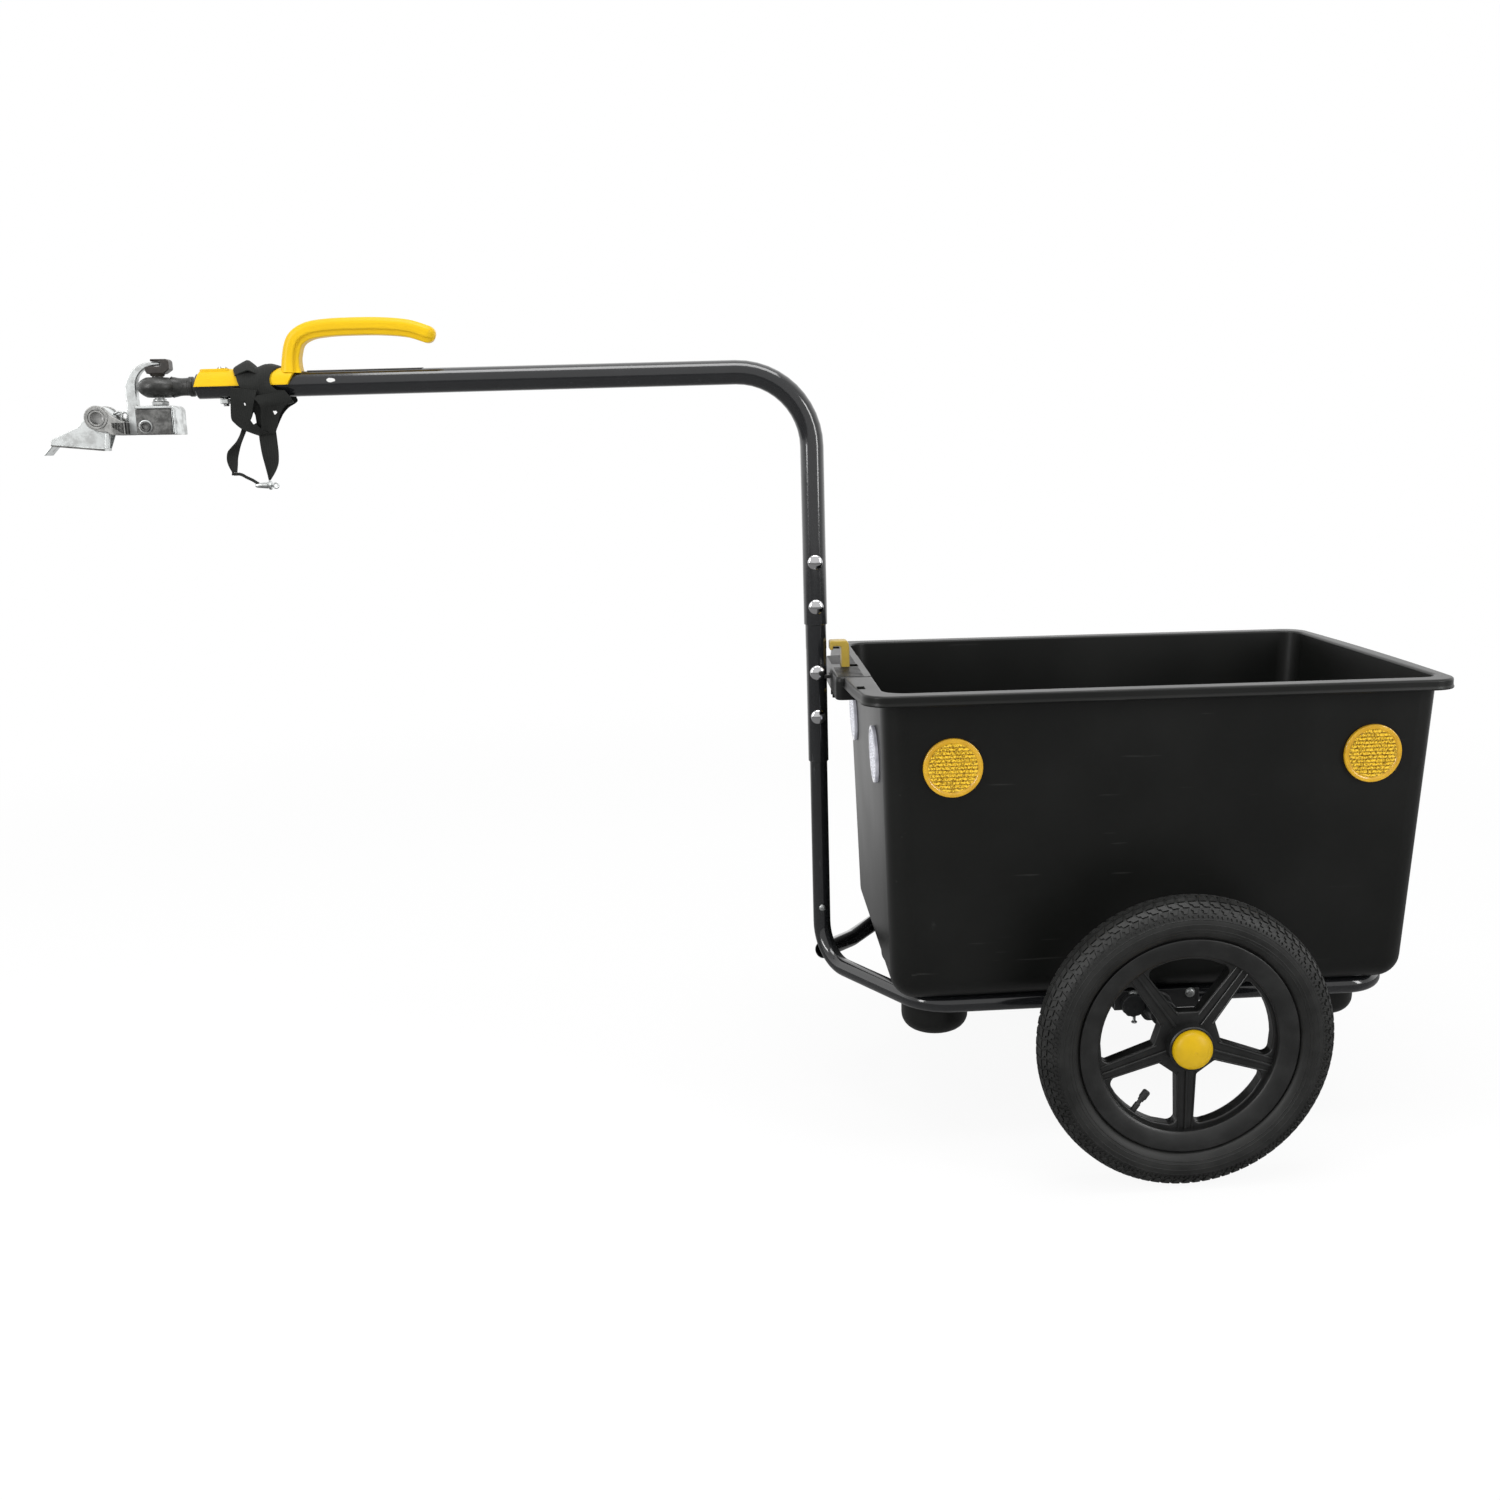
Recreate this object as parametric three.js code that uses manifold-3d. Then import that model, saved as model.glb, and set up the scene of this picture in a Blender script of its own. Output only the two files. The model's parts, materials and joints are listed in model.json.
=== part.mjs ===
// Cargo bike trailer: a plastic bin on a bent tube frame with two spoked wheels,
// a raised drawbar with a carrying handle, and a seat-post coupling at its front end.
// Millimetres. +X points to the rear, -Y to the trailer's left, +Z up.
// Pieces are laid out from the point on the ground below the middle of the axle line.
import * as THREE from 'three';
import { mergeVertices } from 'three/addons/utils/BufferGeometryUtils.js';
import Module from 'manifold-3d';

const wasm = await Module();
wasm.setup();

// Fits shared by all pieces
const fit = 0.3;
const overrun = 4;
const roundSides = 16;
const tubeSides = 12;
const smallSides = 8;
const halfTurn = Math.PI;
const quarterTurn = Math.PI / 2;

// Wheels
const tyreRadius = 149;
const tyreWidth = 47;
const beadRadius = 102.2;
const trackHalf = 271;
const wheelSides = 24;
const rim = {
  flangeRadius: 110, flangeWidth: 35, flangeLip: 3.3, seatRadius: 101.8, wellRadius: 98,
  wellWidth: 16, boreRadius: 90, boreWidth: 28,
};
const spoke = { count: 5, hubWidth: 22, rimWidth: 16.5, depth: 14 };
const hub = {
  radius: 22.5, halfLength: 22, recessRadius: 20.3, recessDepth: 7, bushRadius: 12, bushLength: 16,
};
const valve = { radius: 3, capRadius: 4, length: 27, capLength: 12, angle: THREE.MathUtils.degToRad(36) };
const button = { radius: 19.9, crown: 12.6, skirt: 4.5, skirtWall: 3, travel: 4, rise: 1.5 };
const axle = { radius: 6, reach: 115.5, collarRadius: 10, collarLength: 4 };

// Frame tubes
const tubeWall = 1.2;
const drawbarRadius = 12.7;
const connectorRadius = drawbarRadius - tubeWall - fit;
const lowerTubeRadius = connectorRadius - tubeWall - fit;
const drawbarLength = 627;
const drawbarRise = 316.2;
const drawbarFall = THREE.MathUtils.degToRad(0.77);
const drawbarBend = 78;

// Stem, measured from the bin's rim
const stem = { gap: 20, upperRise: 47, connectorDrop: 105, overlap: 105 };
const stemBoltRises = [115, 67, -5, -54];
const stemBolt = { radius: 3, headRadius: 8, headHeight: 4, neckHalf: 3.4, tail: 5 };

// Hoop under the bin, set in from the bin's ends
const hoop = {
  halfSpan: 160, frontInset: 46, rearInset: 30, stemBend: 44, frontBend: 52, rearBend: 40, branchRise: 9,
  kneeShare: 0.4,
};
const stemScrew = { height: 219, radius: 2, headRadius: 3.6, headHeight: 2, tail: 6 };

// Bin
const bin = {
  rimHeight: 492, floorHeight: 166.5, frontReach: 289, rearReach: 282, halfWidth: 197,
  frontDraft: 10, rearDraft: 18, sideDraft: 12, wall: 3, cornerRadius: 26, floorRadius: 25,
};
const binRim = {
  sideOut: 18, frontOut: 20, frontBow: 10, rearOut: 11, rearBow: 4, cornerRadius: 28, lipHeight: 11, sheet: 3,
};
const ledge = {
  reach: 6, length: 33, halfWidth: 85, depth: 24, cornerRadius: 8, slotX: 14, slotLength: 8, slotWidth: 18, slotY: 154,
};
const foot = { radius: 34, height: 58.5, frontInset: 64, rearInset: 76, halfSpan: 100, edge: 5, sides: 12 };

// Latch, measured from the foremost point of the rim's top edge
const latch = {
  pivotX: 2, pivotZ: -25, pinRadius: 2, width: 18, legFront: 7, legRear: 15.5, top: 29,
  barFront: -6, barHeight: 6, lipHeight: 10, lipLength: 4, noseTip: 2, noseTop: -13, noseHeight: 5,
  eyeRadius: 5, sideGap: 0.5, swing: 10, cheek: 3, cheekDrop: 8,
};
const stemCatch = { tip: 5, halfWidth: 8.5, sheet: 4, rise: 1 };

// Reflectors on the walls
const reflector = { radius: 30, thickness: 4, chamfer: 1, drop: 76, frontInset: 70.2, rearInset: 72 };
const endReflectorY = 115;

// Axle brackets under the hoop
const bracket = {
  halfLength: 45, web: 5, footHalf: 24, drop: 26, bossRadius: 14, bossReach: 30,
  knobX: -27, knobRadius: 13, knobReach: 13, knobRise: 2,
};
const crossTubeRadius = 9.5;

// Carrying handle, measured along the drawbar from its front end
const handle = {
  saddleStart: 0, saddleEnd: 102, saddleWall: 3.5, saddleDrop: 1, flatHalf: 9, gripLength: 143,
  gripRise: 55.6, gripThick: 17.5, gripWide: 22, gripStart: 95, boltX: 26,
};
const gripShares = [
  [0, 0.2], [0.01, 0.5], [0.05, 0.78], [0.14, 0.93], [0.27, 0.985], [0.45, 1], [0.66, 0.99], [0.84, 0.94], [0.97, 0.83],
];
const handleBolt = { radius: 3, headRadius: 5.5, headHeight: 3, nutRadius: 6, nutHeight: 5, tail: 2 };

// Safety strap, measured along the drawbar from its front end
const strap = {
  start: 35, end: 76, thick: 4, pouchTop: -14, pouchDrop: 36, pouchLength: 61, pouchStart: 33,
  pouchDepth: 16, tailThick: 3, cordRadius: 1.8,
};
const ledgeShare = 0.83;
const pouchShares = [
  [0.02, 0], [1, 0], [0.86, -0.26], [0.78, -0.47], [0.69, -0.9], [0.65, -1], [0.37, -1], [0.18, -ledgeShare],
  [0.1, -ledgeShare], [0, -0.62],
];
const frontTail = { x: 31.9, length: 22.6, height: 43.2 };
const frontTailShares = [
  [0.85, 0], [0.99, 0], [0.79, -0.15], [0.655, -0.3], [0.53, -0.52], [0.43, -0.75], [0.39, -1], [0.19, -1],
  [0.1, -0.91], [0, -0.69], [0.115, -0.52], [0.51, -0.31], [0.725, -0.12],
];
const cordShare = 0.2;
const rearTail = { x: 64, length: 17.4, height: 46 };
const rearTailShares = [
  [0, 0], [0.99, 0], [1, -0.45], [0.84, -0.71], [0.64, -0.87], [0.4, -1], [0.26, -1], [0.2, -0.66], [0.05, -0.28],
];
const clip = { length: 23.5, height: 8.4, thick: 5, eye: 2.4, forward: 6 };

// Coupling, measured from the middle of the eye
const eye = {
  gap: 39, radius: 20, halfHeight: 12, seatRadius: 13.8, mouthRadius: 10.9, lipRadius: 12.2,
  neckRadius: 9, neckStart: 16, shankLength: 62, ring: 1, ringLength: 4,
};
const eyeRadiusShares = [0.8, 0.94];
const ballSeat = { outer: 13.2, inner: 11.5, halfHeight: 8 };
const ball = { radius: 11, halfHeight: 9, bore: 5.3 };
const kingpin = { radius: 5, top: 17, bottom: 44, collarRadius: 8, collarTop: 14.5, collarBottom: 18 };
const hook = { innerRadius: 21.5, outerRadius: 28.75, outerShift: 3.25, bottom: 47, tip: 2, thick: 9 };
const hookCap = {
  bottom: 13.4, top: 28, footFront: -9, footRear: 8, front: -11, rear: 14, shoulder: 18, half: 10,
  slotFloor: 17.8, slotRoof: 26, slotEnd: 3.5, round: 3,
};
const yoke = { sheet: 3, rear: 19, half: 15, bend: 5, legBottom: 47 };
const couplerBlock = { half: 14, boltX: -12, boltZ: -39, boltRadius: 3, headRadius: 5.3, headHeight: 3 };
const fork = {
  pivotX: -59, pivotZ: -30, eyeRadius: 12.5, bridgeFront: -46, bridgeTop: -34, half: 15, cheek: 4.7,
  armTop: -32,
};
const pivotTube = { radius: 8.2, bore: 6.2, half: 15.6 };
const lever = {
  half: 9.6, sheet: 1.6, ring: 3, tipX: -108, tipZ: -51, heelX: -57, heelZ: -62, toeZ: -57, lipX: -116,
  lipZ: -66, shoulderX: -80, shoulderZ: -38, backX: -50, backZ: -43,
};
const bail = { radius: 1.2, footX: -38, kneeX: -34, kneeZ: -21, barX: -44.5, barZ: -26, half: 8, bend: 3 };

// Places that follow from the sizes above
const axleHeight = tyreRadius;
const rimFront = -bin.frontReach - binRim.frontOut - binRim.frontBow;
const ledgeFront = rimFront - ledge.reach;
const ledgeRear = ledgeFront + ledge.length;
const stemX = rimFront - stem.gap;
const stemUpperEnd = bin.rimHeight + stem.upperRise;
const connectorEnd = bin.rimHeight - stem.connectorDrop;
const stemBoltHeights = stemBoltRises.map((rise) => bin.rimHeight + rise);
const drawbarHeight = bin.rimHeight + drawbarRise;
const hoopFront = hoop.frontInset - bin.frontReach;
const hoopRear = bin.rearReach - hoop.rearInset;
const railHeight = bin.floorHeight - fit - lowerTubeRadius;
const drawbarFront = new THREE.Vector3(
  stemX - drawbarLength * Math.cos(drawbarFall), 0, drawbarHeight - drawbarLength * Math.sin(drawbarFall),
);
const drawbarFrame = new THREE.Matrix4().makeRotationY(-drawbarFall).setPosition(drawbarFront);
const eyeCentre = new THREE.Vector3(-eye.gap, 0, 0).applyMatrix4(drawbarFrame);

// Finishes
const finish = (color, roughness, metalness) => new THREE.MeshStandardMaterial({ color, roughness, metalness });
const finishes = {
  blackPaint: finish(0x101112, 0.25, 0.1),
  blackPlastic: finish(0x17181a, 0.5, 0),
  rubber: finish(0x1c1d1e, 0.8, 0),
  webbing: finish(0x121314, 0.9, 0),
  yellowPlastic: finish(0xf2c21c, 0.4, 0),
  dullYellow: finish(0xc59e2c, 0.5, 0),
  zinc: finish(0xb9bdc0, 0.3, 1),
  castSteel: finish(0x6f7274, 0.5, 1),
  amber: finish(0xd9981a, 0.2, 0),
  clear: finish(0xe6e9ec, 0.15, 0),
  red: finish(0xb01812, 0.2, 0),
  nylon: finish(0xd8d4c6, 0.5, 0),
};

// Closed solids: three.js geometry to a manifold and back
function solid(geometry) {
  const bare = geometry.clone();
  bare.deleteAttribute('normal');
  bare.deleteAttribute('uv');
  const merged = mergeVertices(bare);
  return new wasm.Manifold(new wasm.Mesh({
    numProp: 3,
    vertProperties: new Float32Array(merged.attributes.position.array),
    triVerts: new Uint32Array(merged.index.array),
  }));
}

function geometryOf(manifold) {
  const { vertProperties, triVerts } = manifold.getMesh();
  const geometry = new THREE.BufferGeometry();
  geometry.setAttribute('position', new THREE.BufferAttribute(vertProperties, 3));
  geometry.setIndex(new THREE.BufferAttribute(triVerts, 1));
  geometry.computeVertexNormals();
  return geometry;
}

const joined = (...geometries) => geometries.map(solid).reduce((whole, piece) => whole.add(piece));
const cut = (whole, ...tools) => tools.map(solid).reduce((rest, tool) => rest.subtract(tool), whole);

// Simple solids
function block(x0, x1, y0, y1, z0, z1) {
  return new THREE.BoxGeometry(x1 - x0, y1 - y0, z1 - z0)
    .translate((x0 + x1) / 2, (y0 + y1) / 2, (z0 + z1) / 2);
}

function rodX(radius, x0, x1, y, z, sides = roundSides) {
  return new THREE.CylinderGeometry(radius, radius, x1 - x0, sides)
    .rotateZ(-quarterTurn).translate((x0 + x1) / 2, y, z);
}

function rodY(radius, y0, y1, x, z, sides = roundSides) {
  return new THREE.CylinderGeometry(radius, radius, y1 - y0, sides).translate(x, (y0 + y1) / 2, z);
}

function rodZ(radius, z0, z1, x, y, sides = roundSides) {
  return new THREE.CylinderGeometry(radius, radius, z1 - z0, sides)
    .rotateX(quarterTurn).translate(x, y, (z0 + z1) / 2);
}

// Turned solid about Z from [radius, height] pairs
function turned(points, sides = roundSides, closed = false) {
  const profile = points.map(([radius, height]) => new THREE.Vector2(radius, height));
  if (THREE.ShapeUtils.area(profile) < 0) profile.reverse();
  if (closed) profile.push(profile[0].clone());
  return new THREE.LatheGeometry(profile, sides).rotateX(quarterTurn);
}

// Turned solid about Y, with heights measured towards the left side of the trailer
const turnedOutboard = (points, sides, closed) => turned(points, sides, closed).rotateX(quarterTurn);

function polygon(points) {
  return new THREE.Shape(points.map(([x, y]) => new THREE.Vector2(x, y)));
}

function roundedRectangle(x0, x1, y0, y1, radius) {
  const shape = new THREE.Shape();
  shape.absarc(x1 - radius, y0 + radius, radius, -quarterTurn, 0);
  shape.absarc(x1 - radius, y1 - radius, radius, 0, quarterTurn);
  shape.absarc(x0 + radius, y1 - radius, radius, quarterTurn, halfTurn);
  shape.absarc(x0 + radius, y0 + radius, radius, halfTurn, halfTurn + quarterTurn);
  return shape;
}

// Extrusions of outlines drawn in plan, from the side and from the front
function slabXY(shape, z0, z1, curveSegments = 4) {
  return new THREE.ExtrudeGeometry(shape, { depth: z1 - z0, bevelEnabled: false, curveSegments }).translate(0, 0, z0);
}

function slabXZ(shape, y0, y1, bevel = 0, curveSegments = 6) {
  const settings = {
    depth: y1 - y0 - 2 * bevel, curveSegments, bevelEnabled: bevel > 0,
    bevelSize: bevel, bevelThickness: bevel, bevelOffset: -bevel, bevelSegments: 2,
  };
  return new THREE.ExtrudeGeometry(shape, settings).rotateX(quarterTurn).translate(0, y1 - bevel, 0);
}

function slabYZ(shape, x0, x1, curveSegments = 6) {
  const turn = new THREE.Matrix4().makeBasis(
    new THREE.Vector3(0, 1, 0), new THREE.Vector3(0, 0, 1), new THREE.Vector3(1, 0, 0),
  );
  return new THREE.ExtrudeGeometry(shape, { depth: x1 - x0, bevelEnabled: false, curveSegments })
    .applyMatrix4(turn).translate(x0, 0, 0);
}

// A run of straight stretches with round bends, stepped only where it turns
class BentRun extends THREE.Curve {
  constructor(corners, radii, bendSteps) {
    super();
    this.stations = [];
    const last = corners.length - 1;
    const aim = (from, to) => new THREE.Vector3().subVectors(to, from).normalize();
    this.add(corners[0], aim(corners[0], corners[1]));
    for (let i = 1; i < last; i += 1) {
      const before = aim(corners[i - 1], corners[i]);
      const after = aim(corners[i], corners[i + 1]);
      const turn = before.angleTo(after);
      const radius = radii[i - 1];
      const setback = radius * Math.tan(turn / 2);
      const start = corners[i].clone().addScaledVector(before, -setback);
      const inward = after.clone().addScaledVector(before, -before.dot(after)).normalize();
      for (let step = 0; step <= bendSteps; step += 1) {
        const angle = turn * step / bendSteps;
        const point = start.clone()
          .addScaledVector(before, radius * Math.sin(angle))
          .addScaledVector(inward, radius * (1 - Math.cos(angle)));
        const tangent = before.clone().multiplyScalar(Math.cos(angle)).addScaledVector(inward, Math.sin(angle));
        this.add(point, tangent);
      }
    }
    this.add(corners[last], aim(corners[last - 1], corners[last]));
  }

  add(point, tangent) {
    this.stations.push({ point: point.clone(), tangent: tangent.clone() });
  }

  get steps() {
    return this.stations.length - 1;
  }

  getPointAt(u, target = new THREE.Vector3()) {
    return target.copy(this.stations[Math.round(u * this.steps)].point);
  }

  getTangentAt(u, target = new THREE.Vector3()) {
    return target.copy(this.stations[Math.round(u * this.steps)].tangent);
  }
}

function ring(radius, bore = 0) {
  const shape = new THREE.Shape().absarc(0, 0, radius, 0, 2 * halfTurn);
  if (bore > 0) shape.holes.push(new THREE.Path().absarc(0, 0, bore, 0, 2 * halfTurn, true));
  return shape;
}

function bentTube(run, radius, bore, sides = tubeSides) {
  return new THREE.ExtrudeGeometry(ring(radius, bore), {
    extrudePath: run, steps: run.steps, curveSegments: sides / 2, bevelEnabled: false,
  });
}

// Every named piece goes into the scene through here
function piece(name, shape, material, parent) {
  const geometry = shape.isBufferGeometry ? shape : geometryOf(shape);
  const mesh = new THREE.Mesh(geometry, material);
  mesh.name = name;
  parent.add(mesh);
  return mesh;
}

const at = (x, y, z) => new THREE.Vector3(x, y, z);
const shared = (shares, x, width, z, height) => shares.map(([u, v]) => [x + u * width, z + v * height]);
const trailer = new THREE.Group();

// Drawbar and stem: three tubes that slide into each other, held by cross bolts
function boltHoles(radius, heights) {
  return heights.map((height) => rodY(radius, -drawbarRadius - overrun, drawbarRadius + overrun, stemX, height, smallSides));
}

function addStem(parent) {
  const run = new BentRun(
    [drawbarFront, at(stemX, 0, drawbarHeight), at(stemX, 0, stemUpperEnd)], [drawbarBend], 6,
  );
  const handleBoltHole = rodZ(
    handleBolt.radius + fit, -drawbarRadius - overrun, drawbarRadius + overrun, handle.boltX, 0, smallSides,
  ).applyMatrix4(drawbarFrame);
  const holes = boltHoles(stemBolt.radius + fit, stemBoltHeights);
  const drawbar = solid(bentTube(run, drawbarRadius, drawbarRadius - tubeWall));
  piece('drawbar_tube', cut(drawbar, handleBoltHole, ...holes), finishes.blackPaint, parent);

  const connectorTop = stemUpperEnd + stem.overlap;
  const connectorRun = new BentRun([at(stemX, 0, connectorTop), at(stemX, 0, connectorEnd)], [], 1);
  const connector = solid(bentTube(connectorRun, connectorRadius, connectorRadius - tubeWall));
  piece('stem_connector', cut(connector, ...holes), finishes.blackPaint, parent);

  const screwSeat = lowerTubeRadius + fit;
  const screw = joined(
    rodY(stemScrew.radius, -screwSeat - fit, -screwSeat + stemScrew.tail, 0, 0, smallSides),
    rodY(stemScrew.headRadius, -screwSeat - stemScrew.headHeight, -screwSeat, 0, 0, smallSides),
  );
  piece('stem_screw', screw, finishes.zinc, parent).position.set(stemX, 0, stemScrew.height);

  stemBoltHeights.forEach((height, index) => {
    const onUpper = height > stemUpperEnd;
    const seat = (onUpper ? drawbarRadius : connectorRadius) + fit;
    const dome = new THREE.SphereGeometry(stemBolt.headRadius, smallSides, smallSides / 2)
      .scale(1, stemBolt.headHeight / stemBolt.headRadius, 1).translate(0, -seat, 0);
    const head = cut(solid(dome), rodY(stemBolt.headRadius + overrun, -seat, 0, 0, 0, smallSides));
    const shank = solid(rodY(stemBolt.radius, -seat - fit, seat + stemBolt.tail, 0, 0, smallSides));
    const nut = solid(rodY(stemBolt.headRadius * 0.7, seat, seat + stemBolt.tail, 0, 0, 6));
    const bolt = head.add(shank).add(nut);
    piece(`stem_bolt_${index + 1}`, bolt, finishes.zinc, parent).position.set(stemX, 0, height);
  });
}

// Hoop under the bin: the left tube carries on up into the stem, the right one branches off it
function hoopCorners(side, startHeight, meet) {
  return [
    at(stemX, 0, startHeight), at(stemX, 0, railHeight), at(hoopFront, side * hoop.halfSpan, railHeight),
    at(hoopRear, side * hoop.halfSpan, railHeight), at(hoopRear, side * meet, railHeight),
  ];
}

function addHoop(parent) {
  const bends = [hoop.stemBend, hoop.frontBend, hoop.rearBend];
  const bore = lowerTubeRadius - tubeWall;
  const stemTop = connectorEnd + stem.overlap + stemBolt.headRadius;
  const leftRun = new BentRun(hoopCorners(-1, stemTop, fit / 2), bends, 4);
  const left = cut(
    solid(bentTube(leftRun, lowerTubeRadius, bore)),
    rodY(stemScrew.radius + fit, -drawbarRadius - overrun, 0, stemX, stemScrew.height, smallSides),
    ...boltHoles(stemBolt.radius + fit, stemBoltHeights.slice(-2)),
  );
  piece('frame_tube_left', left, finishes.blackPaint, parent);

  const [, root, ...branch] = hoopCorners(1, stemTop, fit / 2);
  const knee = root.clone().lerp(branch[0], hoop.kneeShare);
  root.z += hoop.branchRise;
  const rightRun = new BentRun([root, knee, ...branch], [hoop.frontBend, ...bends.slice(1)], 4);
  const right = cut(
    solid(bentTube(rightRun, lowerTubeRadius, bore)), bentTube(leftRun, lowerTubeRadius + fit, 0),
  );
  piece('frame_tube_right', right, finishes.blackPaint, parent);
}

// Axle brackets: a saddle round each rail, with a boss for the stub axle
function bracketSolid() {
  const inner = hoop.halfSpan - lowerTubeRadius - fit;
  const outer = hoop.halfSpan + lowerTubeRadius + fit;
  const top = bin.floorHeight - fit;
  const under = railHeight - lowerTubeRadius - fit;
  const h = bracket.halfLength;
  const webBottom = axleHeight - bracket.drop;
  const outline = polygon([
    [-h, top], [-h, under - bracket.web], [-bracket.footHalf, webBottom],
    [bracket.footHalf, webBottom], [h, under - bracket.web], [h, top],
  ]);
  const knobZ = axleHeight + bracket.knobRise;
  const saddle = joined(
    slabXZ(outline, -outer - bracket.web, -outer),
    block(-h, h, -outer - bracket.web / 2, -inner + bracket.web / 2, under - bracket.web, under),
    block(-h, h, -inner, -inner + bracket.web, under - bracket.web, top),
    rodY(bracket.bossRadius, -outer - bracket.bossReach, -outer - bracket.web / 2, 0, axleHeight),
    rodY(bracket.knobRadius, -outer - bracket.knobReach, -outer - bracket.web / 2, bracket.knobX, knobZ, 16),
  );
  return cut(saddle, rodY(axle.radius + fit, -outer - bracket.bossReach - overrun, -outer + overrun, 0, axleHeight));
}

function addAxles(parent) {
  const outer = hoop.halfSpan + lowerTubeRadius + fit;
  const crossEnd = hoop.halfSpan - lowerTubeRadius - fit - bracket.web - fit;
  const crossRun = new BentRun([at(0, -crossEnd, axleHeight), at(0, crossEnd, axleHeight)], [], 1);
  piece(
    'axle_cross_tube', bentTube(crossRun, crossTubeRadius, crossTubeRadius - tubeWall), finishes.blackPaint, parent,
  );
  const collarInner = trackHalf - hub.halfLength - fit;
  const stub = joined(
    rodY(axle.radius, -outer - axle.reach, -outer - fit, 0, axleHeight),
    rodY(axle.collarRadius, -collarInner, -collarInner + axle.collarLength, 0, axleHeight),
  );
  for (const [side, turn] of [['left', 0], ['right', halfTurn]]) {
    const group = new THREE.Group();
    group.rotation.z = turn;
    piece(`axle_bracket_${side}`, bracketSolid(), finishes.blackPaint, group);
    piece(`stub_axle_${side}`, stub, finishes.zinc, group);
    parent.add(group);
  }
}

// Wheels: a moulded five-spoke wheel with a pneumatic tyre on two plain bushes
const tyreOuterShares = [[0.57, 0], [0.57, 0.2], [0.9, 0.32], [1, 0.53], [0.8, 0.83], [0.36, 1], [0, 1]];
const tyreInnerShares = [[0, 0.9], [0.5, 0.82], [0.82, 0.58], [0.72, 0.38], [0.4, 0.25], [0.4, 0]];
const innerTubeShares = [[0.37, 0.02], [0.37, 0.28], [0.67, 0.41], [0.75, 0.57], [0.46, 0.78], [0, 0.86]];

function mirrored(points) {
  return points.slice(0, -1).map(([radius, height]) => [radius, -height]).reverse();
}

function sectionPoints(shares) {
  const height = tyreRadius - beadRadius;
  return shares.map(([across, up]) => [beadRadius + up * height, across * tyreWidth / 2]);
}

function wheelRim() {
  const half = rim.flangeWidth / 2;
  const seat = half - rim.flangeLip;
  const well = rim.wellWidth / 2;
  const bore = rim.boreWidth / 2;
  const halfProfile = [
    [rim.wellRadius, well], [rim.seatRadius, well + rim.seatRadius - rim.wellRadius], [rim.seatRadius, seat],
    [rim.flangeRadius, seat], [rim.flangeRadius, half], [rim.seatRadius + fit, half], [rim.boreRadius, bore],
  ];
  const profile = [...halfProfile, ...halfProfile.map(([r, y]) => [r, -y]).reverse()];
  let wheel = solid(turnedOutboard(profile, wheelSides, true));
  wheel = wheel.add(solid(rodY(hub.radius, -hub.halfLength, hub.halfLength, 0, 0)));
  const root = hub.radius * Math.cos(halfTurn / spoke.count);
  const tip = (rim.boreRadius + rim.wellRadius) / 2;
  const arm = polygon([
    [-spoke.hubWidth / 2, -root], [spoke.hubWidth / 2, -root], [spoke.rimWidth / 2, -tip], [-spoke.rimWidth / 2, -tip],
  ]);
  for (let i = 0; i < spoke.count; i += 1) {
    const angle = 2 * halfTurn * i / spoke.count;
    wheel = wheel.add(solid(slabXZ(arm, -spoke.depth / 2, spoke.depth / 2).rotateY(angle)));
  }
  const bushBore = rodY(hub.bushRadius + fit, -hub.halfLength - overrun, hub.halfLength + overrun, 0, 0);
  const recess = rodY(hub.recessRadius, -hub.halfLength - overrun, -hub.halfLength + hub.recessDepth, 0, 0);
  const valveHole = rodZ(valve.radius + fit, -rim.flangeRadius, -hub.radius, 0, 0, smallSides);
  valveHole.rotateY(valve.angle);
  return cut(wheel, bushBore, recess, valveHole);
}

function innerTube() {
  const points = sectionPoints(innerTubeShares);
  const tube = solid(turnedOutboard([...points, ...mirrored(points)], wheelSides, true));
  const inside = beadRadius + (tyreRadius - beadRadius) * 0.1;
  const stemEnd = rim.boreRadius - valve.length + valve.capLength;
  const stemRod = rodZ(valve.radius, -inside, -stemEnd, 0, 0, smallSides);
  const cap = rodZ(valve.capRadius, -stemEnd, -stemEnd + valve.capLength, 0, 0, smallSides);
  return tube.add(solid(stemRod.rotateY(valve.angle))).add(solid(cap.rotateY(valve.angle)));
}

function hubButton() {
  const base = hub.halfLength + button.rise;
  const steps = 3;
  const dome = [];
  for (let i = 0; i <= steps; i += 1) {
    const angle = quarterTurn * i / steps;
    dome.push([button.radius * Math.sin(angle), base + (button.crown - button.rise) * Math.cos(angle)]);
  }
  const inside = button.radius - button.skirtWall;
  return turnedOutboard([
    [0, base], [inside, base], [inside, base - button.skirt], [button.radius, base - button.skirt], ...dome.reverse(),
  ], roundSides);
}

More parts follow.
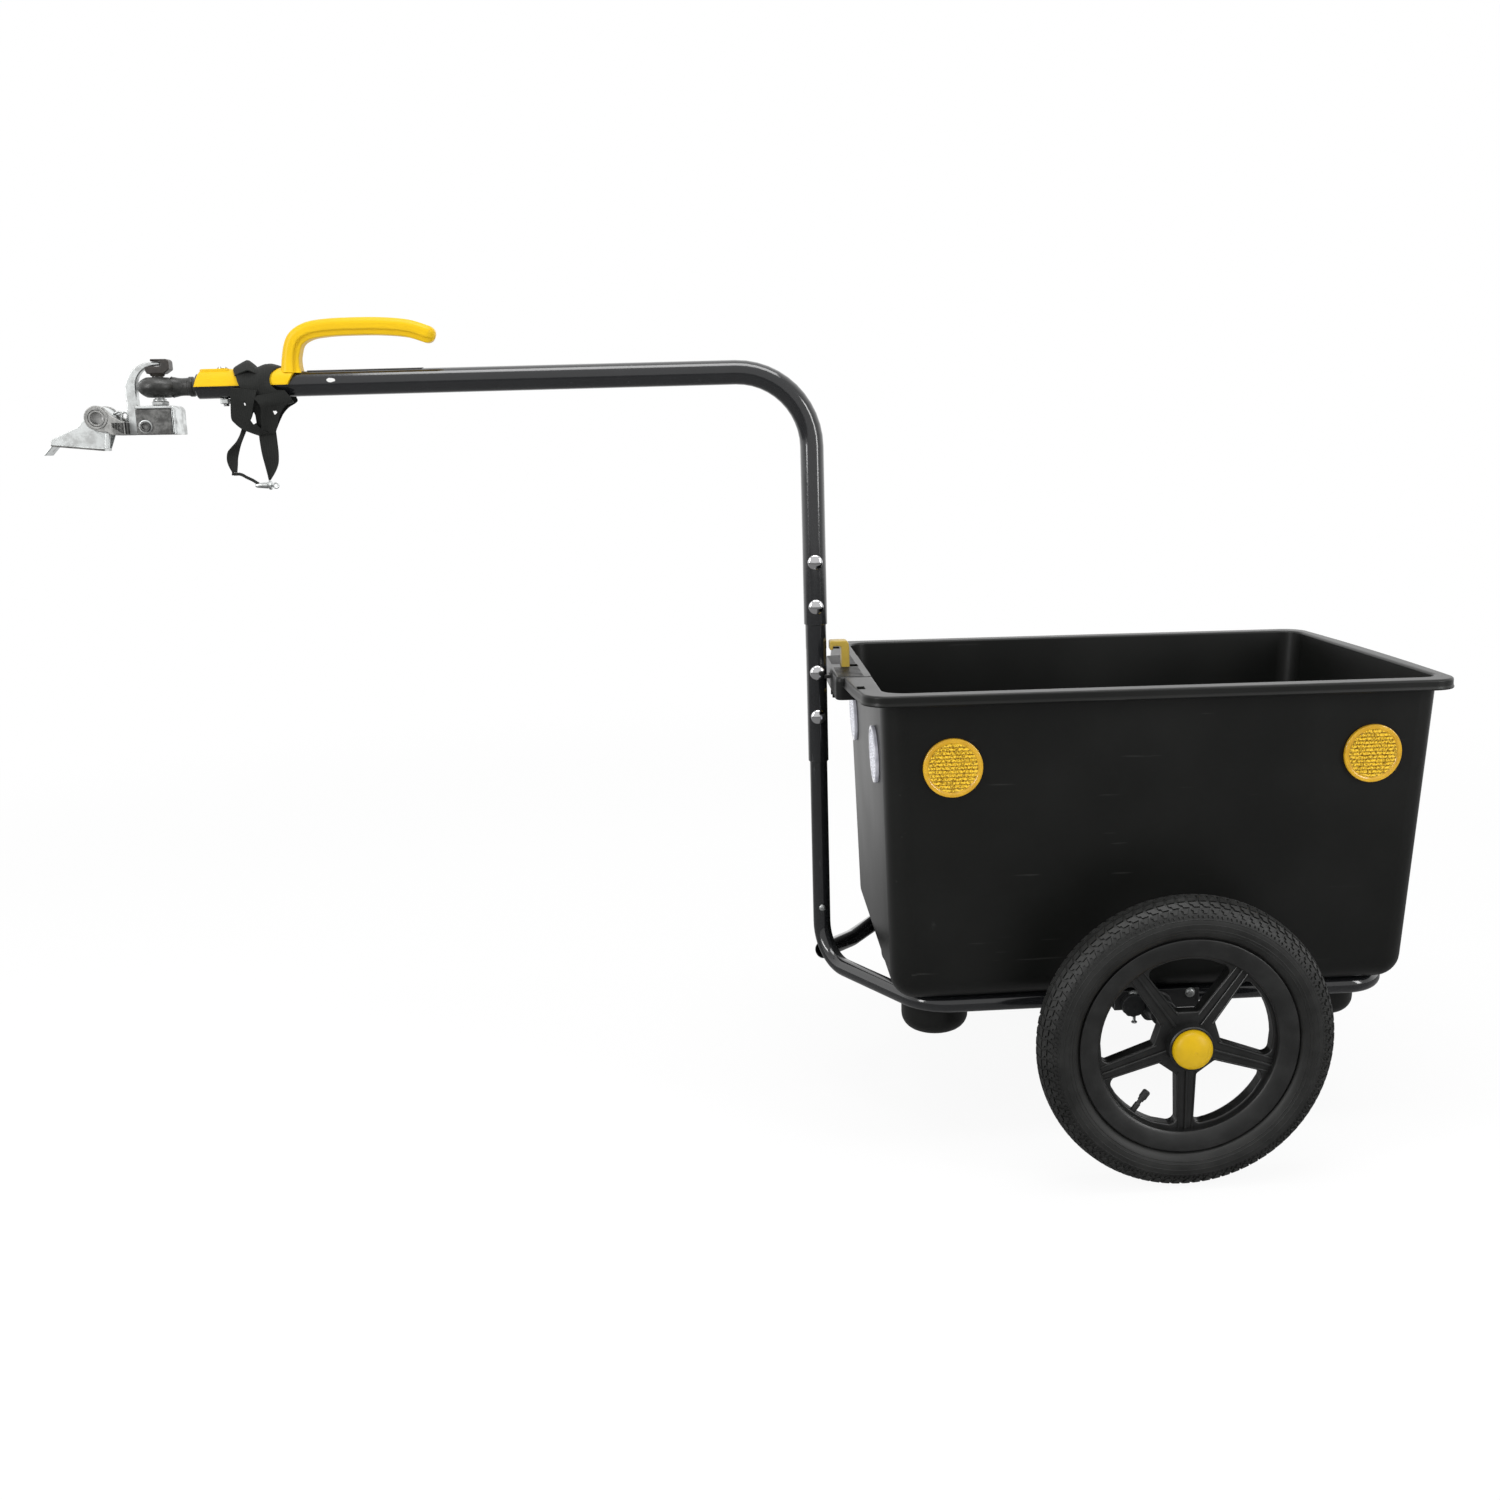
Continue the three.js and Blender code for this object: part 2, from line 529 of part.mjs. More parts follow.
function addWheel(side, parent) {
  const left = side === 'left';
  const group = new THREE.Group();
  group.position.set(0, (left ? -1 : 1) * trackHalf, axleHeight);
  group.rotation.z = left ? 0 : halfTurn;
  const outside = sectionPoints(tyreOuterShares);
  const inside = sectionPoints(tyreInnerShares);
  const tyreSection = [
    ...outside, ...mirrored(outside), ...inside.slice(1).map(([r, y]) => [r, -y]).reverse(), ...inside,
  ];
  piece(`tyre_${side}`, turnedOutboard(tyreSection, wheelSides, true), finishes.rubber, group);
  piece(`inner_tube_${side}`, innerTube(), finishes.rubber, group);
  piece(`wheel_rim_${side}`, wheelRim(), finishes.blackPlastic, group);
  const bush = turnedOutboard([
    [axle.radius + fit, 0], [hub.bushRadius, 0], [hub.bushRadius, hub.bushLength], [axle.radius + fit, hub.bushLength],
  ], roundSides, true);
  piece(`hub_bush_inner_${side}`, bush, finishes.nylon, group).position.y = hub.halfLength;
  piece(`hub_bush_outer_${side}`, bush, finishes.nylon, group)
    .position.y = -hub.halfLength + hub.recessDepth + hub.bushLength;
  piece(`hub_button_${side}`, hubButton(), finishes.yellowPlastic, group);
  parent.add(group);
}

// Bin: one moulding with sloping walls, a turned-down rim, four feet and the latch housing
function slopedTub(inset) {
  const shape = roundedRectangle(
    -bin.frontReach + inset, bin.rearReach - inset, -bin.halfWidth + inset, bin.halfWidth - inset,
    bin.cornerRadius - inset,
  );
  const radius = bin.floorRadius - inset;
  const bottom = bin.floorHeight + inset;
  const tub = new THREE.ExtrudeGeometry(shape, {
    depth: bin.rimHeight - bottom, curveSegments: 4, bevelSegments: 3,
    bevelSize: radius, bevelThickness: radius, bevelOffset: -radius,
  }).translate(0, 0, bottom + radius);
  const place = tub.attributes.position;
  for (let i = 0; i < place.count; i += 1) {
    const down = Math.min((bin.rimHeight - place.getZ(i)) / (bin.rimHeight - bin.floorHeight), 1);
    const x = place.getX(i);
    const lengthways = x < 0 ? bin.frontDraft / bin.frontReach : bin.rearDraft / bin.rearReach;
    place.setX(i, x * (1 - down * lengthways));
    place.setY(i, place.getY(i) * (1 - down * bin.sideDraft / bin.halfWidth));
  }
  return tub;
}

function rimOutline(inset) {
  const front = inset - bin.frontReach - binRim.frontOut;
  const rear = bin.rearReach + binRim.rearOut - inset;
  const side = bin.halfWidth + binRim.sideOut - inset;
  const radius = binRim.cornerRadius - inset;
  const shape = new THREE.Shape();
  shape.absarc(rear - radius, -side + radius, radius, -quarterTurn, 0);
  shape.quadraticCurveTo(rear + 2 * binRim.rearBow, 0, rear, side - radius);
  shape.absarc(rear - radius, side - radius, radius, 0, quarterTurn);
  shape.absarc(front + radius, side - radius, radius, quarterTurn, halfTurn);
  shape.quadraticCurveTo(front - 2 * binRim.frontBow, 0, front, -side + radius);
  shape.absarc(front + radius, -side + radius, radius, halfTurn, halfTurn + quarterTurn);
  return shape;
}

function footSolid(x, y, inset, top) {
  const radius = foot.radius - inset;
  const bottom = bin.floorHeight - foot.height + inset;
  const edge = foot.edge - inset;
  const bevel = edge * Math.SQRT1_2;
  return turned([
    [0, bottom], [radius - edge, bottom], [radius - edge + bevel, bottom + edge - bevel],
    [radius, bottom + edge], [radius, top], [0, top],
  ], foot.sides).translate(x, y, 0);
}

function addBin(parent) {
  const top = bin.rimHeight;
  const plateBottom = top - binRim.sheet;
  let tub = solid(slabXY(rimOutline(0), top - binRim.lipHeight, top));
  tub = cut(tub, slabXY(rimOutline(binRim.sheet), top - binRim.lipHeight - overrun, plateBottom));
  const trim = block(
    -bin.frontReach - overrun, bin.rearReach + overrun, -bin.halfWidth - overrun, bin.halfWidth + overrun,
    top, top + 2 * bin.floorRadius,
  );
  tub = tub.add(cut(solid(slopedTub(0)), trim));
  const spots = [foot.frontInset - bin.frontReach, bin.rearReach - foot.rearInset]
    .flatMap((x) => [[x, -foot.halfSpan], [x, foot.halfSpan]]);
  const footTop = bin.floorHeight + bin.wall;
  for (const [x, y] of spots) tub = tub.add(solid(footSolid(x, y, 0, footTop)));

  const wide = ledge.halfWidth;
  const housing = roundedRectangle(ledgeFront, -bin.frontReach + bin.wall, -wide, wide, ledge.cornerRadius);
  tub = tub.add(solid(slabXY(housing, top - ledge.depth, top)));
  tub = cut(tub, block(
    ledgeFront + bin.wall, ledgeRear, -wide + bin.wall, wide - bin.wall, top - ledge.depth - overrun, plateBottom,
  ));
  const cheekIn = latch.width / 2 + latch.sideGap;
  const pivotZ = top + latch.pivotZ;
  const cheekBottom = pivotZ - latch.cheekDrop;
  for (const side of [-1, 1]) {
    const near = side * cheekIn;
    const far = side * (cheekIn + latch.cheek);
    tub = tub.add(solid(block(
      ledgeFront, ledgeRear + bin.wall, Math.min(near, far), Math.max(near, far), cheekBottom, plateBottom + fit,
    )));
  }

  tub = cut(tub, slopedTub(bin.wall));
  for (const [x, y] of spots) tub = cut(tub, footSolid(x, y, bin.wall, footTop + overrun));
  const catchZ = top + latch.noseTop + stemCatch.rise;
  const slotX = rimFront + ledge.slotX;
  tub = cut(
    tub,
    block(
      rimFront + latch.legFront - latch.sideGap, rimFront + latch.legRear + latch.swing,
      -latch.width / 2 - latch.sideGap, latch.width / 2 + latch.sideGap, plateBottom - overrun, top + overrun,
    ),
    block(
      ledgeFront - overrun, ledgeFront + bin.wall + fit, -stemCatch.halfWidth - latch.sideGap,
      stemCatch.halfWidth + latch.sideGap, catchZ - fit - latch.sideGap, catchZ + stemCatch.sheet + latch.sideGap,
    ),
    rodY(
      latch.pinRadius + fit, -cheekIn - latch.cheek - overrun, cheekIn + latch.cheek + overrun,
      rimFront + latch.pivotX, pivotZ, smallSides,
    ),
    ...[-1, 1].map((side) => block(
      slotX - ledge.slotLength / 2, slotX + ledge.slotLength / 2,
      side * ledge.slotY - ledge.slotWidth / 2, side * ledge.slotY + ledge.slotWidth / 2,
      plateBottom - overrun, top + overrun,
    )),
  );
  piece('bin', tub, finishes.blackPlastic, parent);
}

// Latch: a yellow lever on the bin whose nose sits under a plate on the stem
function addLatch(parent) {
  const half = latch.width / 2;
  const { pivotX, pivotZ, legFront, legRear, top, barFront, noseTip, noseTop } = latch;
  const outline = polygon([
    [pivotX, pivotZ - latch.eyeRadius], [legRear - latch.lipLength, pivotZ - latch.eyeRadius],
    [legRear, pivotZ + latch.eyeRadius], [legRear, top - latch.barHeight / 2], [legRear - latch.barHeight / 2, top],
    [barFront + fit, top], [barFront + fit, top - latch.lipHeight],
    [barFront + latch.lipLength, top - latch.lipHeight], [barFront + latch.lipLength, top - latch.barHeight],
    [legFront, top - latch.barHeight], [legFront, noseTop], [noseTip, noseTop],
    [noseTip, noseTop - latch.noseHeight], [pivotX - latch.eyeRadius, pivotZ], 
  ]);
  const body = cut(
    solid(slabXZ(outline, -half, half)),
    rodY(latch.pinRadius + fit, -half - overrun, half + overrun, pivotX, pivotZ, smallSides),
  );
  piece('bin_latch', body, finishes.dullYellow, parent).position.set(rimFront, 0, bin.rimHeight);
  const pinHalf = half + latch.sideGap + latch.cheek;
  piece('latch_pin', rodY(latch.pinRadius, -pinHalf, pinHalf, 0, 0, smallSides), finishes.zinc, parent)
    .position.set(rimFront + pivotX, 0, bin.rimHeight + pivotZ);

  const bottom = bin.rimHeight + noseTop + stemCatch.rise;
  const { halfWidth, sheet } = stemCatch;
  const plate = cut(
    solid(block(stemX, rimFront + stemCatch.tip, -halfWidth, halfWidth, bottom, bottom + sheet)),
    rodZ(connectorRadius + fit, bottom - overrun, bottom + sheet + overrun, stemX, 0, 32),
  );
  piece('stem_catch', plate, finishes.blackPaint, parent);
}

// Reflectors: amber on the sides, clear in front and red behind, each a shallow round cup of prisms
function reflectorDisc() {
  const { radius, thickness, chamfer } = reflector;
  return turned([
    [0, 0], [radius, 0], [radius, thickness - chamfer], [radius - chamfer, thickness], [0, thickness],
  ], roundSides);
}

function addReflectors(parent) {
  const rise = bin.rimHeight - bin.floorHeight;
  const down = reflector.drop / rise;
  const walls = {
    side: { reach: bin.halfWidth - down * bin.sideDraft, lean: Math.atan(bin.sideDraft / rise) },
    front: { reach: bin.frontReach - down * bin.frontDraft, lean: Math.atan(bin.frontDraft / rise) },
    rear: { reach: bin.rearReach - down * bin.rearDraft, lean: Math.atan(bin.rearDraft / rise) },
  };
  const place = (name, material, wall, turn, x, y) => {
    const seat = new THREE.Group();
    seat.position.set(x, y, bin.rimHeight - reflector.drop);
    seat.rotation.z = turn;
    const disc = piece(name, reflectorDisc(), material, seat);
    disc.rotation.y = quarterTurn + wall.lean;
    disc.position.x = fit / Math.cos(wall.lean);
    parent.add(seat);
  };
  const sides = { left: -1, right: 1 };
  const ends = { front: reflector.frontInset - bin.frontReach, rear: bin.rearReach - reflector.rearInset };
  for (const [sideName, side] of Object.entries(sides)) {
    for (const [endName, endX] of Object.entries(ends)) {
      place(
        `reflector_${sideName}_${endName}`, finishes.amber, walls.side, side * quarterTurn,
        endX, side * walls.side.reach,
      );
    }
    place(`reflector_front_${sideName}`, finishes.clear, walls.front, halfTurn, -walls.front.reach, side * endReflectorY);
    place(`reflector_rear_${sideName}`, finishes.red, walls.rear, 0, walls.rear.reach, side * endReflectorY);
  }
}

// Carrying handle: a saddle on the drawbar and a grip that reaches back over it
function addHandle(parent) {
  const group = new THREE.Group();
  group.applyMatrix4(drawbarFrame);
  const inner = drawbarRadius + fit;
  const outer = inner + handle.saddleWall;
  const saddleShape = new THREE.Shape();
  saddleShape.moveTo(inner, -handle.saddleDrop);
  saddleShape.lineTo(outer, -handle.saddleDrop);
  saddleShape.absarc(0, 0, outer, 0, halfTurn);
  saddleShape.lineTo(-outer, -handle.saddleDrop);
  saddleShape.lineTo(-inner, -handle.saddleDrop);
  saddleShape.absarc(0, 0, inner, halfTurn, 0, true);
  const gripBase = outer - handle.saddleWall / 2;
  const spine = shared(gripShares, handle.gripStart, handle.gripLength, 0, handle.gripRise)
    .map(([x, z]) => at(x, 0, z));
  const curve = new THREE.CatmullRomCurve3(spine);
  const section = new THREE.Shape().absellipse(0, 0, handle.gripThick / 2, handle.gripWide / 2, 0, 2 * halfTurn);
  const grip = new THREE.ExtrudeGeometry(section, {
    extrudePath: curve, steps: 12, curveSegments: 5, bevelEnabled: false,
  });
  const end = spine[spine.length - 1];
  const tip = new THREE.SphereGeometry(handle.gripWide / 2, smallSides, smallSides / 2)
    .scale(handle.gripThick / handle.gripWide, 1, handle.gripThick / handle.gripWide).translate(end.x, end.y, end.z);
  const padEnd = strap.start - 2 * fit;
  const pad = block(handle.saddleStart, padEnd, -handle.flatHalf, handle.flatHalf, gripBase, outer + fit);
  const body = cut(
    joined(slabYZ(saddleShape, handle.saddleStart, handle.saddleEnd, 8), grip, tip, pad),
    rodX(inner, handle.saddleStart - overrun, handle.saddleEnd + handle.gripLength, 0, 0),
    rodZ(handleBolt.radius + fit, 0, handle.gripRise, handle.boltX, 0, smallSides),
  );
  piece('handle', body, finishes.yellowPlastic, group);

  const seat = outer + 2 * fit;
  const nutTop = -drawbarRadius - fit;
  const nutBottom = nutTop - handleBolt.nutHeight;
  const bolt = joined(
    rodZ(handleBolt.radius, nutBottom - handleBolt.tail, seat + fit, 0, 0, smallSides),
    rodZ(handleBolt.headRadius, seat, seat + handleBolt.headHeight, 0, 0, smallSides),
  );
  piece('handle_bolt', bolt, finishes.zinc, group).position.x = handle.boltX;
  const nutHole = rodZ(handleBolt.radius + fit, nutBottom - overrun, nutTop + overrun, 0, 0, smallSides);
  const nut = cut(solid(rodZ(handleBolt.nutRadius, nutBottom, nutTop, 0, 0, 6)), nutHole);
  piece('handle_nut', nut, finishes.zinc, group).position.x = handle.boltX;
  parent.add(group);
}

// Safety strap: webbing wound round the drawbar, with two tails joined by a cord and a clip
function addStrap(parent) {
  const group = new THREE.Group();
  group.applyMatrix4(drawbarFrame);
  const inner = drawbarRadius + 2 * fit + handle.saddleWall + fit;
  const band = slabYZ(ring(inner + strap.thick, inner), strap.start, strap.end, 10);
  const pouch = slabXZ(
    polygon(shared(pouchShares, strap.pouchStart, strap.pouchLength, strap.pouchTop, strap.pouchDrop)),
    -strap.pouchDepth / 2, strap.pouchDepth / 2, strap.thick / 2,
  );
  const clearing = rodX(inner, strap.start - overrun, strap.end + strap.pouchLength, 0, 0, 20);
  piece('strap_wrap', cut(joined(band, pouch), clearing), finishes.webbing, group);

  const frontTop = strap.pouchTop - ledgeShare * strap.pouchDrop - fit;
  const rearTop = strap.pouchTop - strap.pouchDrop - fit;
  const half = strap.tailThick / 2;
  const tail = (shares, { x, length, height }, top) => slabXZ(
    polygon(shared(shares, x - length / 2, length, top, height)), -half, half,
  );
  piece('strap_tail_front', tail(frontTailShares, frontTail, frontTop), finishes.webbing, group);
  piece('strap_tail_rear', tail(rearTailShares, rearTail, rearTop), finishes.webbing, group);

  const cordX = frontTail.x + (cordShare - 0.5) * frontTail.length;
  const cordStart = at(cordX, 0, frontTop - frontTail.height - strap.cordRadius - fit);
  const clipTop = rearTop - rearTail.height - fit;
  const clipFront = rearTail.x - clip.forward - clip.length / 2;
  const cordEnd = at(clipFront - strap.cordRadius / 2 - fit, 0, clipTop - clip.height / 2);
  const cordMid = cordStart.clone().lerp(cordEnd, 0.5);
  cordMid.z += strap.cordRadius;
  const cordCurve = new THREE.CatmullRomCurve3([cordStart, cordMid, cordEnd]);
  const cord = new THREE.ExtrudeGeometry(ring(strap.cordRadius), {
    extrudePath: cordCurve, steps: 8, curveSegments: 4, bevelEnabled: false,
  });
  piece('strap_cord', cord, finishes.webbing, group);

  const clipBody = joined(
    block(clipFront, clipFront + clip.length, -clip.thick / 2, clip.thick / 2, clipTop - clip.height, clipTop),
  );
  const eyeHole = rodY(
    clip.eye, -clip.thick, clip.thick, clipFront + clip.length - 2 * clip.eye, clipTop - clip.height / 2, smallSides,
  );
  piece('strap_clip', cut(clipBody, eyeHole), finishes.zinc, group);
  parent.add(group);
}

// Coupling eye on the drawbar's front end
function addEye(parent) {
  const { radius, halfHeight, seatRadius, mouthRadius, lipRadius } = eye;
  const outline = (r) => [r, halfHeight * Math.sqrt(1 - (r / radius) ** 2)];
  const upper = [lipRadius, ...eyeRadiusShares.map((share) => share * radius)].map(outline);
  const steps = 4;
  const mouth = Math.asin(mouthRadius / seatRadius);
  const seat = [];
  for (let i = 0; i <= steps; i += 1) {
    const angle = halfTurn - mouth - (halfTurn - 2 * mouth) * i / steps;
    seat.push([seatRadius * Math.sin(angle), seatRadius * Math.cos(angle)]);
  }
  const lower = upper.map(([r, z]) => [r, -z]).reverse();
  const profile = [...seat, ...upper, [radius, 0], ...lower];
  const group = new THREE.Group();
  group.position.copy(eyeCentre);
  const neck = rodX(eye.neckRadius, eye.neckStart, eye.gap + fit, 0, 0);
  const collar = rodX(eye.neckRadius + eye.ring, eye.gap - 2 * eye.ringLength, eye.gap - eye.ringLength, 0, 0);
  const shankRadius = (drawbarRadius - tubeWall) * Math.cos(halfTurn / tubeSides) - fit;
  const shank = rodX(shankRadius, eye.gap, eye.gap + eye.shankLength, 0, 0, tubeSides);
  for (const part of [neck, collar, shank]) part.rotateY(-drawbarFall);
  const boltHole = rodZ(
    handleBolt.radius + fit, -2 * drawbarRadius, 2 * drawbarRadius, eye.gap + handle.boltX, 0, smallSides,
  ).rotateY(-drawbarFall);
  const body = cut(joined(turned(profile.reverse(), roundSides, true), neck, collar, shank), boltHole);
  piece('hitch_eye', body, finishes.blackPaint, group);
  parent.add(group);
}

// Seat and ball inside the eye
function sphericalRing(outer, inner, halfHeight) {
  const steps = 4;
  const outside = [];
  const inside = [];
  for (let i = 0; i <= steps; i += 1) {
    const share = 2 * i / steps - 1;
    const z = halfHeight * share;
    outside.push([Math.sqrt(outer ** 2 - z ** 2), z]);
    inside.push([Math.sqrt(inner ** 2 - z ** 2), z]);
  }
  return turned([...outside, ...inside.reverse()], roundSides, true);
}

function boredBall() {
  const steps = 6;
  const outside = [];
  for (let i = 0; i <= steps; i += 1) {
    const z = ball.halfHeight * (2 * i / steps - 1);
    outside.push([Math.sqrt(ball.radius ** 2 - z ** 2), z]);
  }
  return turned([...outside, [ball.bore, ball.halfHeight], [ball.bore, -ball.halfHeight]], roundSides, true);
}

// Kingpin, safety hook, cap and yoke, which swing together under the eye
function hookSolid() {
  const shift = hook.outerShift;
  const outerX = -hook.outerRadius - shift;
  const shape = new THREE.Shape();
  shape.moveTo(-hook.innerRadius, -hook.bottom);
  shape.lineTo(outerX, -hook.bottom);
  shape.absarc(-shift, -shift, hook.outerRadius, halfTurn, quarterTurn, true);
  shape.lineTo(hook.tip, hook.innerRadius);
  shape.absarc(0, 0, hook.innerRadius, quarterTurn, halfTurn, false);
  return slabXZ(shape, -hook.thick / 2, hook.thick / 2, 0, 8);
}

function addCoupler(parent) {
  const group = new THREE.Group();
  group.position.copy(eyeCentre);
  piece('ball_seat', sphericalRing(ballSeat.outer, ballSeat.inner, ballSeat.halfHeight), finishes.nylon, group);
  piece('hitch_ball', boredBall(), finishes.zinc, group);
  const { radius: pin, top, bottom } = kingpin;
  const pinBody = joined(
    rodZ(pin, -bottom, top, 0, 0),
    rodZ(kingpin.collarRadius, -kingpin.collarBottom, -kingpin.collarTop, 0, 0),
  );
  piece('kingpin', pinBody, finishes.zinc, group);
  piece('safety_hook', hookSolid(), finishes.zinc, group);

  const cap = hookCap;
  const capOutline = polygon([
    [cap.footFront, cap.bottom], [cap.footRear, cap.bottom], [cap.rear, cap.shoulder], [cap.rear, cap.top - cap.round],
    [cap.rear - cap.round, cap.top], [cap.front, cap.top], [cap.front, cap.shoulder],
  ]);
  const capBody = cut(
    solid(slabXZ(capOutline, -cap.half, cap.half)),
    rodZ(pin + fit, cap.bottom - overrun, top + fit, 0, 0),
    block(
      cap.front - overrun, cap.slotEnd, -hook.thick / 2 - fit, hook.thick / 2 + fit, cap.slotFloor, cap.slotRoof,
    ),
  );
  piece('hook_cap', capBody, finishes.blackPlastic, group);

  const yokeTop = -kingpin.collarBottom - fit;
  const { sheet, rear, half, bend } = yoke;
  const front = -hook.innerRadius + fit;
  const yokeShape = new THREE.Shape();
  yokeShape.moveTo(front, yokeTop);
  yokeShape.lineTo(front, yokeTop - sheet);
  yokeShape.absarc(rear - bend, yokeTop - bend, bend - sheet, quarterTurn, 0, true);
  yokeShape.lineTo(rear - sheet, -yoke.legBottom);
  yokeShape.lineTo(rear, -yoke.legBottom);
  yokeShape.absarc(rear - bend, yokeTop - bend, bend, 0, quarterTurn);
  const pinHole = rodZ(pin + fit, -bottom - fit, 0, 0, 0);
  piece('yoke_plate', cut(solid(slabXZ(yokeShape, -half, half)), pinHole), finishes.zinc, group);

  const blockTop = yokeTop - sheet - fit;
  const { boltX, boltZ } = couplerBlock;
  const boltHole = rodY(couplerBlock.boltRadius + fit, -half - overrun, half, boltX, boltZ, smallSides);
  const boltEnd = couplerBlock.half - overrun;
  const blockBody = cut(
    solid(block(front, rear - bend, -couplerBlock.half, couplerBlock.half, -yoke.legBottom, blockTop)), pinHole, boltHole,
  );
  piece('coupler_block', blockBody, finishes.castSteel, group);
  const headSeat = couplerBlock.half + fit;
  const bolt = joined(
    rodY(couplerBlock.boltRadius, -headSeat - fit, boltEnd, 0, 0, smallSides),
    rodY(couplerBlock.headRadius, -headSeat - couplerBlock.headHeight, -headSeat, 0, 0, smallSides),
  );
  piece('coupler_bolt', bolt, finishes.castSteel, group).position.set(boltX, 0, boltZ);
  addFork(group);
  parent.add(group);
}

// Fork with the hollow cross pivot, its cam lever and the wire bail
function addFork(group) {
  const { pivotX, pivotZ, bridgeTop, half, cheek } = fork;
  const bridgeRear = -hook.outerRadius - hook.outerShift - fit;
  const armBottom = -yoke.legBottom;
  const arm = new THREE.Shape();
  arm.moveTo(bridgeRear, armBottom);
  arm.lineTo(bridgeRear, bridgeTop);
  arm.lineTo(fork.bridgeFront, fork.armTop);
  arm.absarc(pivotX, pivotZ, fork.eyeRadius, quarterTurn / 3, halfTurn + quarterTurn / 2, false);
  arm.lineTo(fork.bridgeFront, armBottom);
  const body = cut(
    joined(
      block(fork.bridgeFront, bridgeRear, -half, half, armBottom, bridgeTop),
      slabXZ(arm, -half, -half + cheek), slabXZ(arm, half - cheek, half),
    ),
    rodY(pivotTube.radius + fit, -half - overrun, half + overrun, pivotX, pivotZ),
  );
  piece('fork_lugs', body, finishes.castSteel, group);
  const tube = cut(
    solid(rodY(pivotTube.radius, -pivotTube.half, pivotTube.half, 0, 0)),
    rodY(pivotTube.bore, -pivotTube.half - overrun, pivotTube.half + overrun, 0, 0),
  );
  piece('pivot_tube', tube, finishes.castSteel, group).position.set(pivotX, 0, pivotZ);

  const l = lever;
  const ringRadius = pivotTube.radius + fit + l.ring;
  const cheekShape = polygon([
    [l.tipX, l.tipZ], [l.tipX, l.toeZ], [l.heelX, l.heelZ], [l.backX, l.backZ],
    [pivotX + ringRadius, pivotZ], [pivotX, pivotZ + ringRadius], [pivotX - ringRadius, pivotZ], [l.shoulderX, l.shoulderZ],
  ]);
  const webShape = polygon([
    [l.tipX, l.toeZ + l.sheet], [l.tipX, l.toeZ], [l.heelX, l.heelZ], [l.heelX, l.heelZ + l.sheet],
  ]);
  const lipShape = polygon([
    [l.tipX, l.toeZ + l.sheet], [l.lipX, l.lipZ + l.sheet], [l.lipX, l.lipZ], [l.tipX + l.sheet, l.toeZ],
  ]);
  const leverBody = cut(
    joined(
      slabXZ(cheekShape, -l.half, -l.half + l.sheet), slabXZ(cheekShape, l.half - l.sheet, l.half),
      slabXZ(webShape, -l.half, l.half), slabXZ(lipShape, -l.half, l.half),
      rodY(ringRadius, -l.half, l.half, pivotX, pivotZ),
    ),
    rodY(pivotTube.radius + fit, -half - overrun, half + overrun, pivotX, pivotZ),
  );
  piece('cam_lever', leverBody, finishes.zinc, group);

  const footZ = bridgeTop + 2 * fit;
  const b = bail;
  const bailRun = new BentRun([
    at(b.footX, -b.half, footZ), at(b.kneeX, -b.half, b.kneeZ), at(b.barX, -b.half, b.barZ),
    at(b.barX, b.half, b.barZ), at(b.kneeX, b.half, b.kneeZ), at(b.footX, b.half, footZ),
  ], [b.bend, b.bend, b.bend, b.bend], 3);
  piece('wire_bail', bentTube(bailRun, b.radius, 0, 6), finishes.zinc, group);
}

addStem(trailer);
addHoop(trailer);
addAxles(trailer);
addWheel('left', trailer);
addWheel('right', trailer);
addBin(trailer);
addLatch(trailer);
addReflectors(trailer);
addHandle(trailer);
addStrap(trailer);
addEye(trailer);
addCoupler(trailer);

// The finished trailer stands with the middle of its outline over the origin
trailer.updateMatrixWorld(true);
const reach = new THREE.Box3().setFromObject(trailer);
trailer.position.set(-(reach.min.x + reach.max.x) / 2, 0, -reach.min.z);

export default trailer;
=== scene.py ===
"""Cargo bike trailer in metres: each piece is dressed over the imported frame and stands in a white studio.

Places along X are given from the axle, as AXLE plus a distance.
"""
import json
from math import asin, atan, atan2, copysign, cos, degrees, hypot, pi, radians, sin, sqrt, tan

import bmesh
import bpy
from mathutils import Matrix, Vector

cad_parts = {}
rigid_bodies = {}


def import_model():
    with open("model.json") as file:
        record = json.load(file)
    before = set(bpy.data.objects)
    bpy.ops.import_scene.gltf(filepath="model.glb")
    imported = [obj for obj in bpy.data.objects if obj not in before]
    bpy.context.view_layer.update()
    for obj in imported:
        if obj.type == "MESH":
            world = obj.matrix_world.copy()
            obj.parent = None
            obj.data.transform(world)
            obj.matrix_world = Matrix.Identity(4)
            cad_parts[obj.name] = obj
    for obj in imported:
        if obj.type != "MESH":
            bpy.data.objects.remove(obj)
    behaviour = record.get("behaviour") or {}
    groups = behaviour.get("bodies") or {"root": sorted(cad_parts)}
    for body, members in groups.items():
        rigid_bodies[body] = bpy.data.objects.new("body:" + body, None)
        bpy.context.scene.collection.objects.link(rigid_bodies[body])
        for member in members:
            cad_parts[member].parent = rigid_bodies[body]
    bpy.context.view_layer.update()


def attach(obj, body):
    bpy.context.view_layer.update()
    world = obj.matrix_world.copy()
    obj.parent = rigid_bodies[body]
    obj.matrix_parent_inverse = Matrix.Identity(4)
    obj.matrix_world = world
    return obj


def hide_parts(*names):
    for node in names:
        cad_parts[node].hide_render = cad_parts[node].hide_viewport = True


for leftover in list(bpy.data.objects):
    bpy.data.objects.remove(leftover)
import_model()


def placed(name, data):
    """A new object in the scene."""
    made = bpy.data.objects.new(name, data)
    bpy.context.collection.objects.link(made)
    return made


